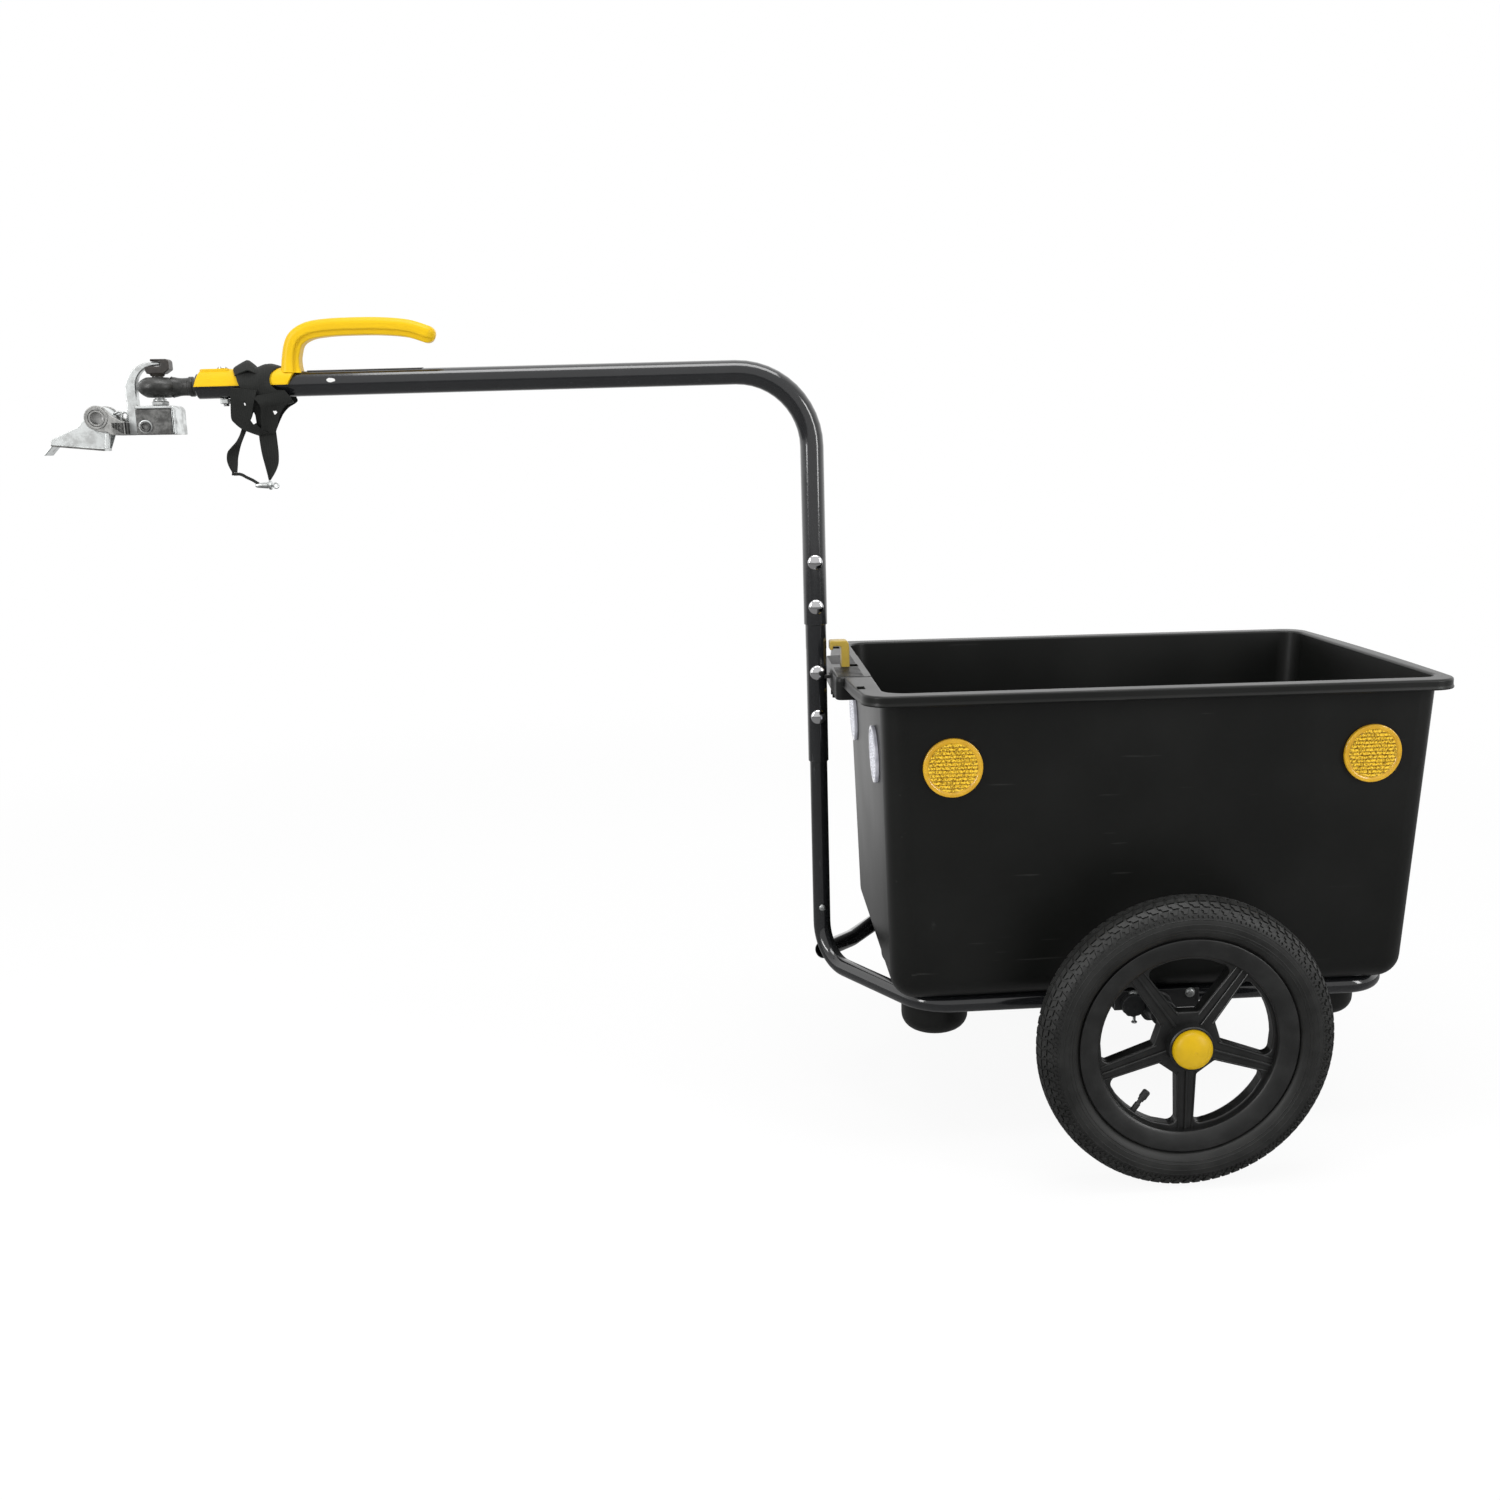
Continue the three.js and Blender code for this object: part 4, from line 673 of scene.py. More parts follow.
cup_edge = arc(REFLECTOR - 0.0012, REFLECTOR_THICK - 0.0012, 0.0012, 0, 90, 4)
cup = turned([
    (0.0005, 0), (REFLECTOR - 0.0004, 0), (REFLECTOR, 0.0006), *cup_edge, (REFLECTOR - 0.0028, REFLECTOR_THICK),
    (FIELD + 0.0012, REFLECTOR_THICK - 0.0003), (FIELD + 0.0004, REFLECTOR_THICK - 0.0012),
    (0.0005, REFLECTOR_THICK - 0.0012),
], 72)
half_long, half_high, prism_rise = PRISM_LONG / 2 - 0.0001, PRISM_HIGH / 2 - 0.0001, 0.0012
low, high = (
    [Vector((x * half_long * narrow, y * half_high * flat, z)) for x, y in ((-1, -1), (1, -1), (1, 1), (-1, 1))]
    for narrow, flat, z in ((1, 1, 0), (0.7, 0.5, prism_rise))
)
prism = moved(loft([low, high]), shift(0, 0, REFLECTOR_THICK - 0.0013))
backing = disc(FIELD, REFLECTOR_THICK - 0.0016, REFLECTOR_THICK - 0.001, 60)


def reflector_at(reach, draft, wall_turn, x, y):
    """Where a reflector lies on a sloping wall; wall_turn is the wall's heading in degrees."""
    down = (RIM_TOP - REFLECTOR_HEIGHT) / (RIM_TOP - FLOOR)
    lean = atan(draft / (RIM_TOP - FLOOR))
    out = reach - down * draft + 0.0003
    heading = Matrix.Rotation(radians(wall_turn), 4, "Z")
    foot = Vector((x, y, REFLECTOR_HEIGHT)) + heading @ Vector((out, 0, 0))
    stand = heading @ Matrix.Rotation(pi / 2 + lean, 4, "Y") @ Matrix.Rotation(pi / 2, 4, "Z")
    return Matrix.Translation(foot) @ stand


END_Y, SIDE_FRONT_X, SIDE_REAR_X = 0.115, -0.2188, 0.21
side_wall, front_wall, rear_wall = (SIDE, SIDE_DRAFT), (FRONT, FRONT_DRAFT, 180, AXLE), (REAR, REAR_DRAFT, 0, AXLE)
sides = {
    "%s_%s" % (side, end): (*side_wall, turn, AXLE + x, 0)
    for side, turn in (("left", -90), ("right", 90)) for end, x in (("front", SIDE_FRONT_X), ("rear", SIDE_REAR_X))
}
fronts = {"front_left": (*front_wall, -END_Y), "front_right": (*front_wall, END_Y)}
rears = {"rear_left": (*rear_wall, -END_Y), "rear_right": (*rear_wall, END_Y)}
# Each field's two tones are the bright colour of its painted glints and lit rows and the dark colour of the painted
# shade between prism rows; lens and field also have a painted glow.
for tone, places, rim_tones, field_tones in (
    ("amber", sides, ((0.56, 0.32, 0.012), (0.48, 0.26, 0.009)), ((0.72, 0.46, 0.022), (0.11, 0.05, 0.003))),
    ("clear", fronts, ((0.48, 0.485, 0.53), (0.36, 0.365, 0.41)), ((0.66, 0.67, 0.73), (0.14, 0.145, 0.175))),
    ("red", rears, ((0.62, 0.015, 0.01), (0.4, 0.008, 0.006)), ((0.8, 0.02, 0.014), (0.12, 0.003, 0.003))),
):
    lens = lens_finish(tone + "_lens", *rim_tones)
    facets = field_finish(tone + "_field", *field_tones)
    facets.slot = lens.slot
    field = copied(prism, facets, 11, (PRISM_LONG, 0, 0), 13, (0, PRISM_HIGH, 0), 0.5, reach=FIELD - 0.002)
    field = together(backing, field)
    for place, wall in places.items():
        name, at = "reflector_" + place, reflector_at(*wall)
        dress(name, cup, lens, at=at)
        dress(name + "_field", field, facets, at=at, replaces=(), sharp=20)


# Drawbar, stem and hoop are steel tubes in gloss black powder-coat that slide into each other.
# The left hoop tube carries on up into the stem, the right one is welded to its foot and, behind, to its end.
STEM = AXLE - 0.339
DRAWBAR_Z, RAIL_Z = 0.8082, 0.1565
TUBE_1, TUBE_2, TUBE_3, TUBE_WALL = 0.0127, 0.0112, 0.0097, 0.0012
UPPER_END, CONNECTOR_TOP, CONNECTOR_STEP, CONNECTOR_END = 0.539, 0.644, 0.512, 0.387
HOOP_FRONT, HOOP_REAR, HOOP_HALF = AXLE - 0.243, AXLE + 0.252, 0.16
FALL, DRAWBAR_LONG = radians(0.77), 0.627
DRAWBAR_FRONT = Vector((STEM - DRAWBAR_LONG * cos(FALL), 0, DRAWBAR_Z - DRAWBAR_LONG * sin(FALL)))
ALONG_DRAWBAR = Matrix.Translation(DRAWBAR_FRONT) @ Matrix.Rotation(-FALL, 4, "Y")
LEFTWARD = Matrix.Rotation(pi / 2, 4, "X")


def bent_path(corners, radii, steps=12):
    """Points and aims of straight stretches that are joined by round bends."""
    corners = [Vector(corner) for corner in corners]
    path = [(corners[0], (corners[1] - corners[0]).normalized())]
    for i, radius in enumerate(radii, 1):
        before = (corners[i] - corners[i - 1]).normalized()
        after = (corners[i + 1] - corners[i]).normalized()
        bend = before.angle(after)
        start = corners[i] - before * radius * tan(bend / 2)
        inward = (after - before * before.dot(after)).normalized()
        for step in range(steps + 1):
            angle = bend * step / steps
            point = start + before * radius * sin(angle) + inward * radius * (1 - cos(angle))
            path.append((point, before * cos(angle) + inward * sin(angle)))
    path.append((corners[-1], (corners[-1] - corners[-2]).normalized()))
    return path


def sweep(path, outlines):
    """Rings of outlines that are carried along a path square to it."""
    rings = []
    across = Vector((1, 0, 0) if abs(path[0][1].y) > 0.9 else (0, 1, 0))
    for (point, aim), outline in zip(path, outlines):
        across = (across - aim * across.dot(aim)).normalized()
        up = aim.cross(across)
        rings.append([point + across * u + up * v for u, v in outline])
    return rings


def tube(path, radius, wall=TUBE_WALL, edge=0.0004):
    """A tube, open at both ends, with slightly rounded rims."""
    path = list(path)
    (start, aim), (end, last_aim) = path[0], path[-1]
    path.insert(1, (start + aim * edge, aim))
    path.insert(-1, (end - last_aim * edge, last_aim))
    radii = [radius - edge, *[radius] * (len(path) - 2), radius - edge]
    outside = sweep(path, [circle(r) for r in radii])
    inside = sweep(path, [circle(radius - wall)] * len(path))
    return loft(outside + inside[::-1], closed=True)


powder = Finish("black_tube", (0.009, 0.0095, 0.0105), 0.14, Coat_Weight=0.45, Coat_Roughness=0.06)
peel = powder.noise(0.0035, detail=1.5)
dust = powder.noise(0.03, detail=5.0, rough=0.65)
rub = powder.noise(0.006, stretch=(1, 1, 0.15), detail=4.0).between(0.68, 0.76)
powder.set("Roughness", 0.1 + dust * 0.1 + rub * 0.18)
black = powder.mix(rub * 0.5 + dust * 0.15, (0.007, 0.0075, 0.0085), (0.04, 0.041, 0.044))
CHIP = Vector((-0.4186, -TUBE_1, 0.804 * 2))
flattened = powder.node("Mapping", inputs={"Vector": powder.place, "Scale": (1, 1, 2)})
from_chip = powder.node("VectorMath", {"operation": "DISTANCE"}, {0: flattened, 1: CHIP}, output="Value")
chip = 1 - (from_chip + peel * 0.003).between(0.0054, 0.006)
powder.paint(chip, black, (0.66, 0.66, 0.65))
powder.bump(peel, 0.00004)

DRAWBAR_BEND, HOOP_BENDS = 0.078, [0.044, 0.052, 0.04]
upper_path = bent_path([DRAWBAR_FRONT, (STEM, 0, DRAWBAR_Z), (STEM, 0, UPPER_END)], [DRAWBAR_BEND])
dress("drawbar_tube", tube(upper_path, TUBE_1, edge=0.0007), powder)
middle = tube(bent_path([(STEM, 0, CONNECTOR_TOP), (STEM, 0, CONNECTOR_END)], []), TUBE_2, edge=0.0006)
sleeve = tube(bent_path([(STEM, 0, UPPER_END + 0.01), (STEM, 0, CONNECTOR_STEP)], []), TUBE_2 + 0.0002, 0.0008)
dress("stem_connector", together(middle, sleeve), powder)
root = Vector((STEM, 0, RAIL_Z))
left_corner, right_corner = (Vector((HOOP_FRONT, y, RAIL_Z)) for y in (-HOOP_HALF, HOOP_HALF))
left_route = [(STEM, 0, 0.5), root, left_corner, (HOOP_REAR, -HOOP_HALF, RAIL_Z), (HOOP_REAR, -0.0002, RAIL_Z)]
dress("frame_tube_left", tube(bent_path(left_route, HOOP_BENDS), TUBE_3), powder)
right_route = [root + Vector((0, 0, 0.009)), root.lerp(right_corner, 0.4), right_corner]
right_route += [(HOOP_REAR, HOOP_HALF, RAIL_Z), (HOOP_REAR, 0.0002, RAIL_Z)]
right_path = bent_path(right_route, [0.052, *HOOP_BENDS[1:]])
dress("frame_tube_right", tube(right_path, TUBE_3), powder)

# Weld beads where the right tube meets the left one: a ring of small overlapping blobs.
branch = (right_path[1][0] - right_path[0][0]).normalized()
BLOBS = 26
blob_profile = [(0.00005 + x * 1.9, z * 1.3) for x, z in arc(0, 0, 0.001, -90, 90, 9)]
blob = moved(turned(blob_profile, 12), shift(TUBE_3 + 0.0003, 0, 0))
bead_ring = copied(blob, powder, BLOBS, turn=(0, 0, 2 * pi / BLOBS))
front_weld = moved(bead_ring, aimed(right_path[0][0] + branch * 0.0125, branch))
rear_weld = moved(bead_ring, shift(HOOP_REAR, 0, RAIL_Z) @ LEFTWARD)
dress("frame_welds", together(front_weld, rear_weld), powder, replaces=())

# A short strip of black tape lies on the drawbar's top in front of the stem.
strip_rows = []
for x, half in ((0.11, 0.1), (0.111, 1), (0.226, 1), (0.227, 0.1)):
    outline = arc(0, 0, TUBE_1 + 0.0005, 90 - 24 * half, 90 + 24 * half, 10)
    outline += arc(0, 0, TUBE_1 - 0.0002, 90 + 24 * half, 90 - 24 * half, 10)
    strip_rows.append([Vector((x, y, z)) for y, z in outline])
weave = dict(size=0.0006, stretch=(1, 3, 1))
tape = clouded("webbing", (0.012, 0.012, 0.012), 0.55, weave, (0.45, 0.25), height=0.00005)
dress("drawbar_strip", loft(strip_rows), tape, at=ALONG_DRAWBAR, replaces=())


# Round-headed bolts pass through the stem, two in the upper tube and two in the connector.
# Their domed heads are on the left, with nuts on the right; they are bright chrome.
chrome = clouded("chrome", (0.6, 0.6, 0.61), 0.09, dict(size=0.004, detail=4.0), (0.05, 0.12), metallic=1.0)


PITCH = 0.0009


def hexagon(radius, z0, z1, edge=0.0006):
    """A six-sided nut with chamfered corners."""
    profile = (1.4 * edge, z0), (0, z0 + edge), (0, z1 - edge), (1.4 * edge, z1)
    return loft([at_height(circle(radius - shrink, 6), z) for shrink, z in profile])


def threaded(radius, z0, z1):
    """A bolt's shank whose thread is a stack of fine rings."""
    profile = [(0.0002, z0), (radius - 0.0006, z0), (radius - 0.0001, z0 + 0.0006)]
    z = z0 + 0.0008
    while z < z1 - PITCH:
        profile += [(radius, z), (radius, z + PITCH * 0.25), (radius - 0.0003, z + PITCH * 0.5)]
        z += PITCH
    return turned(profile + [(radius, z1)], 24)


def dome_head(radius, height, seat):
    """A round bolt head with a thin edge, standing on a seat."""
    angles = [radians(angle) for angle in range(84, 3, -8)]
    dome = [(radius * sin(a), seat + 0.0006 + (height - 0.0006) * cos(a)) for a in angles]
    return turned([(0.0003, seat), (radius - 0.0002, seat), (radius, seat + 0.0003), *dome])


for names, middle_z, step, seat in (
    (("stem_bolt_1", "stem_bolt_2"), 0.583, 0.048, TUBE_1), (("stem_bolt_3", "stem_bolt_4"), 0.4625, 0.049, TUBE_2),
):
    head_part = dome_head(0.008, 0.004, seat + 0.0002)
    flat_washer = washer(0.0035, 0.0072, -seat - 0.0008, -seat, 36)
    nut = hexagon(0.0058, -seat - 0.0053, -seat - 0.0009)
    shank = threaded(0.003, -seat - 0.0066, seat + 0.001)
    bolt = moved(together(head_part, flat_washer, nut, shank), LEFTWARD)
    pair = moved(copied(bolt, chrome, 2, (0, 0, step)), shift(STEM, 0, middle_z))
    dress("stem_bolts_" + names[0][-1], pair, chrome, replaces=names)

# A small cross-headed screw holds the lower tube above its bend.
zinc = Finish("zinc", (0.74, 0.755, 0.75), 0.26, 1.0)
spangle = zinc.noise(0.005, detail=3.0)
tarnish = zinc.noise(0.013, detail=4.0, rough=0.6).between(0.42, 0.66)
zinc.paint(tarnish * 0.75, (0.62, 0.64, 0.635), (0.33, 0.335, 0.33))
zinc.set("Roughness", 0.32 + spangle * 0.1 + tarnish * 0.12)
zinc.bump(spangle, 0.00003)
SCREW_Z = 0.219
screw_seat = TUBE_3 + 0.0002
cross = [
    brick(-a, a, -b, b, screw_seat + 0.0009, screw_seat + 0.004, 0.0002, 0.0001)
    for a, b in mm((1.8, 0.4), (0.4, 1.8))
]
screw = combined("DIFFERENCE", dome_head(0.0036, 0.0022, screw_seat), *cross)
dress("stem_screw", screw, zinc, at=shift(STEM, 0, SCREW_Z) @ LEFTWARD)


# An axle bracket of black steel sits round each rail of the hoop: a deep outer plate, a shallow inner
# one and a floor between them, with a boss for the stub axle, a clamping knob and bright bolts.
AXLE_Z = 0.149
OUTER_PLATE, INNER_PLATE, PLATE = 0.17, 0.15, 0.005
BRACKET_HALF, WEB_HALF, WEB_TOP_HALF, WEB_BOTTOM = 0.045, 0.012, 0.022, 0.132
BRACKET_TOP = FLOOR - 0.0003
RAIL_UNDER = RAIL_Z - TUBE_3 - 0.0003
KNOB_X, KNOB, KNOB_LOBES = -0.027, 0.0125, 12
AT_AXLE = {"left": shift(AXLE, 0, 0), "right": shift(AXLE, 0, 0) @ Matrix.Rotation(pi, 4, "Z")}


def rounded(corners, radii, steps=4):
    """A closed outline whose corners are rounded, by one radius or each by its own."""
    outline = []
    if not isinstance(radii, list):
        radii = [radii] * len(corners)
    for i, radius in enumerate(radii):
        here = Vector(corners[i])
        if not radius:
            outline.append(tuple(here))
            continue
        before = (Vector(corners[i - 1]) - here).normalized()
        after = (Vector(corners[(i + 1) % len(corners)]) - here).normalized()
        half_angle = before.angle(after) / 2
        centre = here + (before + after).normalized() * radius / sin(half_angle)
        start = here + before * radius / tan(half_angle) - centre
        end = here + after * radius / tan(half_angle) - centre
        outline += [tuple(centre + start.lerp(end, i / steps).normalized() * radius) for i in range(steps + 1)]
    return outline


def slab(outlines, z0, z1, edge=0.0005, edge_steps=2):
    """A flat piece with rounded edges from an outline and its holes."""
    curve = bpy.data.curves.new("outline", "CURVE")
    curve.dimensions = "2D"
    curve.fill_mode = "BOTH"
    curve.extrude = (z1 - z0) / 2 - edge
    curve.bevel_depth = edge
    curve.bevel_resolution = edge_steps
    curve.offset = -edge
    for outline in outlines:
        spline = curve.splines.new("POLY")
        spline.points.add(len(outline) - 1)
        spline.use_cyclic_u = True
        for point, (x, y) in zip(spline.points, outline):
            point.co = (x, y, 0, 1)
    return moved(part_of(evaluated(curve)), shift(0, 0, (z0 + z1) / 2))


def side_slab(outlines, y0, y1, edge=0.0005, edge_steps=2):
    """The same for outlines drawn from the left, in X and Z."""
    return moved(slab(outlines, -y1, -y0, edge, edge_steps), LEFTWARD)


def rod_y(part, x, z):
    """A part turned about Z, laid with its top to the left."""
    return moved(part, shift(x, 0, z) @ LEFTWARD)


def lobed(radius, swing, lobes, count, twist=0.0):
    """A closed outline whose radius swings out and in again in even lobes."""
    outline = []
    for i in range(count):
        angle = 2 * pi * i / count
        reach = radius + swing * cos(lobes * (angle - twist))
        outline.append((reach * cos(angle), reach * sin(angle)))
    return outline


steel = clouded(
    "black_bracket", (0.012, 0.0125, 0.013), 0.35, dict(size=0.0025), (0.28, 0.2),
    ((0.01, 0.0105, 0.011), (0.028, 0.028, 0.029)), (0.55, 0.8), height=0.00008, Coat_Weight=0.2,
)
half_outline = [
    (BRACKET_HALF, BRACKET_TOP), (BRACKET_HALF, RAIL_UNDER),
    (WEB_TOP_HALF, RAIL_UNDER - 0.001), (WEB_HALF, WEB_BOTTOM),
]
half_radii = [0.001, 0.001, 0.004, 0.007]
plate_outline = rounded([(-x, z) for x, z in half_outline] + half_outline[::-1], half_radii + half_radii[::-1])
boss = turned(mm((6.5, 170), (16, 170), (16, 177), (14, 179), (14, 199), (13, 200), (6.5, 200)), closed=True)
knob_rows = [
    at_height(lobed(KNOB - shrink - 0.0003, 0.0003, KNOB_LOBES, 96), height)
    for shrink, height in mm((2, 170), (0, 176), (0, 181.5), (0.5, 182.6), (1.5, 183))
]
h, middle = BRACKET_HALF, PLATE / 2
bracket = together(
    side_slab([plate_outline], -OUTER_PLATE - PLATE, -OUTER_PLATE, 0.0008),
    brick(-h, h, -OUTER_PLATE - middle, middle - INNER_PLATE, RAIL_UNDER - middle, RAIL_UNDER, 0.001, 0.0006),
    brick(-h, h, -INNER_PLATE, PLATE - INNER_PLATE, RAIL_UNDER - middle, BRACKET_TOP, 0.001, 0.0006),
    rod_y(boss, 0, AXLE_Z), rod_y(loft(knob_rows), KNOB_X, AXLE_Z + 0.003),
)
bolt_seat = OUTER_PLATE + PLATE + 0.0001
small_washer = washer(0.001, 0.0052, bolt_seat, bolt_seat + 0.0007, 32)
small_bolt = together(dome_head(0.0042, 0.0026, bolt_seat + 0.0006), small_washer)
BOLT_MIDDLE, BOLT_SPAN, BOLT_Z = 0.0045, 0.061, 0.1615
bolts = moved(copied(small_bolt, zinc, 2, (BOLT_SPAN, 0, 0)), shift(BOLT_MIDDLE, 0, BOLT_Z) @ LEFTWARD)
drop_head = turned(mm((0.2, 131.7), (2.8, 132), (3.2, 133.1), (2, 134.1), (0.2, 134.3)), 24)
drop_screw = together(threaded(0.0016, 0.1335, 0.1425), drop_head)
bolts = together(bolts, moved(drop_screw, shift(-0.025, -0.178, 0)))
stub = turned(mm(
    (0.3, 170.3), (6, 170.3), (6, 244.7), (9.5, 244.7), (10, 245.2), (10, 248.2), (9.5, 248.7), (6, 248.7),
    (6, 284.5), (5.2, 285.5), (0.3, 285.5),
))
for side, at_axle in AT_AXLE.items():
    dress("axle_bracket_" + side, bracket, steel, at=at_axle)
    dress("bracket_bolts_" + side, bolts, zinc, at=at_axle, replaces=())
    dress("stub_axle_" + side, rod_y(stub, 0, AXLE_Z), zinc, at=at_axle)
cross_end = INNER_PLATE - PLATE - 0.0006
cross_tube = tube([(Vector((AXLE, y, AXLE_Z)), Vector((0, 1, 0))) for y in (-cross_end, cross_end)], 0.0095)
dress("axle_cross_tube", cross_tube, powder)


# Each wheel is one black moulding with five spokes, whose hub is deep and webbed between the spokes.
# A pneumatic tyre sits over its flanges, and its valve points inward between two spokes.
# Wheel parts are drawn round Z with their outer side up, and then laid on the axle's two ends.
TRACK = 0.271
TYRE = 0.149
ON_WHEEL = {side: at_axle @ shift(0, -TRACK, AXLE_Z) @ LEFTWARD for side, at_axle in AT_AXLE.items()}


def smooth(points, steps=5):
    """Points of a soft curve through the given ones."""
    ends = [points[0], *points, points[-1]]
    curve = []
    for i in range(1, len(ends) - 2):
        a, b, c, d = (Vector(p) for p in ends[i - 1:i + 3])
        for step in range(steps):
            t = step / steps
            square, cube = (2 * a - 5 * b + 4 * c - d) * t ** 2, (3 * b - a - 3 * c + d) * t ** 3
            curve.append(0.5 * (2 * b + (c - a) * t + square + cube))
    return [tuple(p) for p in curve] + [tuple(points[-1])]


def below(half):
    """The mirror image of half a profile, to close it with."""
    return [(r, -h) for r, h in half[::-1]]


rubber = Finish("tyre_rubber", (0.008, 0.0083, 0.0078), 0.62, Specular_IOR_Level=0.4)
grey = rubber.noise(0.03, detail=5.0, rough=0.6)
pores = rubber.noise(0.0009, detail=2.0)
split = rubber.node("SeparateXYZ", inputs={0: rubber.place})
across_x = Socket(rubber, split.output.node.outputs["X"]) - AXLE
across_z = Socket(rubber, split.output.node.outputs["Z"]) - AXLE_Z
from_axle = (across_x * across_x + across_z * across_z).math("SQRT")
lines = 0
for line in (0.1185, 0.1215, 0.1268, 0.1315):
    lines = from_axle.between(line - 0.0005, line) * (1 - from_axle.between(line, line + 0.0005)) + lines
rubber.paint(grey.between(0.3, 0.75), (0.006, 0.0063, 0.0058), (0.014, 0.0143, 0.0135))
rubber.set("Roughness", 0.42 + grey * 0.2)
rubber.bump(lines * 0.8 + pores * 0.06, 0.0004)

# The tyre's section runs from the middle of its tread over the shoulder to the bead.
section = smooth(mm(
    (147.5, 0), (147.2, 5), (146.2, 9.8), (143.4, 14.9), (139.5, 19.1), (134, 22), (127.5, 23.4), (121.5, 22.8),
    (116.5, 20.9), (113, 18.2), (111.2, 15), (110.5, 13.8), (103, 13.2),
), 4)
lining = mm((103, 9.4), (114, 9.4), (120, 16.9), (129.3, 19.3), (140.6, 11.8), (144.3, 0))
half_section = section + lining[:-1]
tyre_profile = half_section + [lining[-1]] + below(half_section)[:-1]
tyre_body = turned(tyre_profile, 160, closed=True)


def on_tread(along, around, rise):
    """A point near the tread: metres from its middle towards the outside, metres round it, height above it."""
    left = abs(along)
    for (r0, h0), (r1, h1) in zip(section, section[1:]):
        length = hypot(r1 - r0, h1 - h0)
        if left <= length:
            break
        left -= length
    share = left / length
    r = r0 + (r1 - r0) * share + rise * (h1 - h0) / length
    h = h0 + (h1 - h0) * share - rise * (r1 - r0) / length
    angle = around / TYRE
    return Vector((r * cos(angle), r * sin(angle), copysign(h, along)))


TREAD_PITCHES = 88
HALF_PITCH = pi * TYRE / TREAD_PITCHES
knob_outlines = [
    mm((-2.6, -4.3), (2.6, -4.3), (3.4, 0.3), (2.6, 4.3), (-2.6, 4.3), (-3.4, 0.3)),
    mm((4.4, -5), (10.8, -2.6), (10.8, 5.6), (4.4, 3.2)),
    mm((11.8, -2.8), (18, -5.8), (18, 1), (15.2, 2), (14.4, 4.6), (11.8, 5.4)),
    mm((19, -4.6), (24.6, -1.4), (24.2, 2.6), (21.6, 2.2), (20.8, 4.8), (19, 4)),
    mm((25.2, -5.2), (28.4, -3), (25.8, -2.2)),
    mm((25.8, 0.4), (28.8, 2.6), (26.2, 4)),
]
knobs = []
for sign in (1, -1):
    for outline in knob_outlines if sign > 0 else knob_outlines[1:]:
        middle = Vector((sum(p[0] for p in outline), sum(p[1] for p in outline))) / len(outline)
        top = [middle.lerp(Vector(p), 0.88) for p in outline]
        around = HALF_PITCH if sign < 0 else 0
        knobs.append(loft([
            [on_tread(sign * a, b + around, rise) for a, b in ring]
            for ring, rise in ((outline, -0.0004), (top, 0.0014))
        ]))
tread = copied(together(*knobs), rubber, TREAD_PITCHES, turn=(0, 0, 2 * pi / TREAD_PITCHES))

# The inner tube fills the tyre; its valve has a ribbed cap.
tube_rubber = clouded("inner_rubber", (0.016, 0.016, 0.016), 0.55, dict(size=0.004), (0.4, 0.3), height=0.0001)
tube_half = smooth(mm((103.5, 8.6), (115, 8.6), (121.5, 15.8), (129, 17.8), (138.8, 10.8), (142.4, 0.1)))
inner_body = turned(tube_half + below(tube_half), 96, closed=True)
VALVE_ANGLE = radians(36)
VALVE_END = 0.063
cap = turned(mm((0.4, 0), (3, 0.1), (3.6, 0.8), (3.6, 9), (3.1, 10), (3.1, 12), (0.4, 12)), 32)
cap_rib = brick(0.0033, 0.004, -0.00035, 0.00035, 0.001, 0.0088, 0.0003, 0.0002)
valve_stem = turned(mm((0.3, 2), (2.2, 2), (2.2, 15), (3, 16), (3, 36), (0.3, 36)), 24)
valve = together(valve_stem, cap, copied(cap_rib, tube_rubber, 16, turn=(0, 0, pi / 8)))
toward_rim = Vector((-sin(VALVE_ANGLE), -cos(VALVE_ANGLE), 0))
valve = moved(valve, aimed(toward_rim * VALVE_END, toward_rim))

# Rim, spokes and hub. The windows are cut from a flat web; ribs and rails stand up on each spoke.
RIM_BORE = 0.09
SPOKES, SPOKE_HALF_HUB, SPOKE_HALF_RIM = 5, 0.011, 0.00825
HUB_HALF, RECESS, RECESS_DEPTH = 0.022, 0.0203, 0.007
SPOKE_DEEP = 0.007
moulded = clouded(
    "rim_plastic", (0.014, 0.0142, 0.0146), 0.38, dict(size=0.02, detail=4.0), (0.3, 0.18),
    ((0.006, 0.0062, 0.006), (0.012, 0.0123, 0.012)), (0.35, 0.75), dict(size=0.001, detail=2.0), 0.00004,
)
ring_half = mm(
    (97.5, 0.1), (98, 8), (101.6, 11.8), (101.8, 14), (109.2, 14.3), (109.8, 15), (110, 16), (109.7, 17),
    (108.8, 17.5), (104, 17.4), (98.5, 16.6), (93.5, 15.2), (91.2, 14), (90.3, 12.9), (90, 11),
)
rim_part = turned(ring_half + below(ring_half), 144, closed=True)
hub_profile = mm((12.3, -22), (21.5, -22), (22.5, -20.9), (22.5, 21), (21.5, 22), (12.3, 22))
recess_cut = disc(RECESS, HUB_HALF - RECESS_DEPTH, 0.03, 96)
hub_part = combined("DIFFERENCE", turned(hub_profile, 96, closed=True), recess_cut)
near, far = 0.033, RIM_BORE - 0.0035
inner_half = SPOKE_HALF_HUB + (SPOKE_HALF_RIM - SPOKE_HALF_HUB) * near / far
spoke_sides = []
for sign in (-1, 1):
    spoke_at = pi / 2 + sign * pi / SPOKES
    direction = Vector((cos(spoke_at), sin(spoke_at)))
    inward = Vector((sin(spoke_at), -cos(spoke_at))) * sign
    spoke_sides.append((direction * near + inward * inner_half, direction * far + inward * SPOKE_HALF_RIM))
(near_a, far_a), (near_b, far_b) = spoke_sides
start, end = (degrees(atan2(point.y, point.x)) for point in (far_a, far_b))
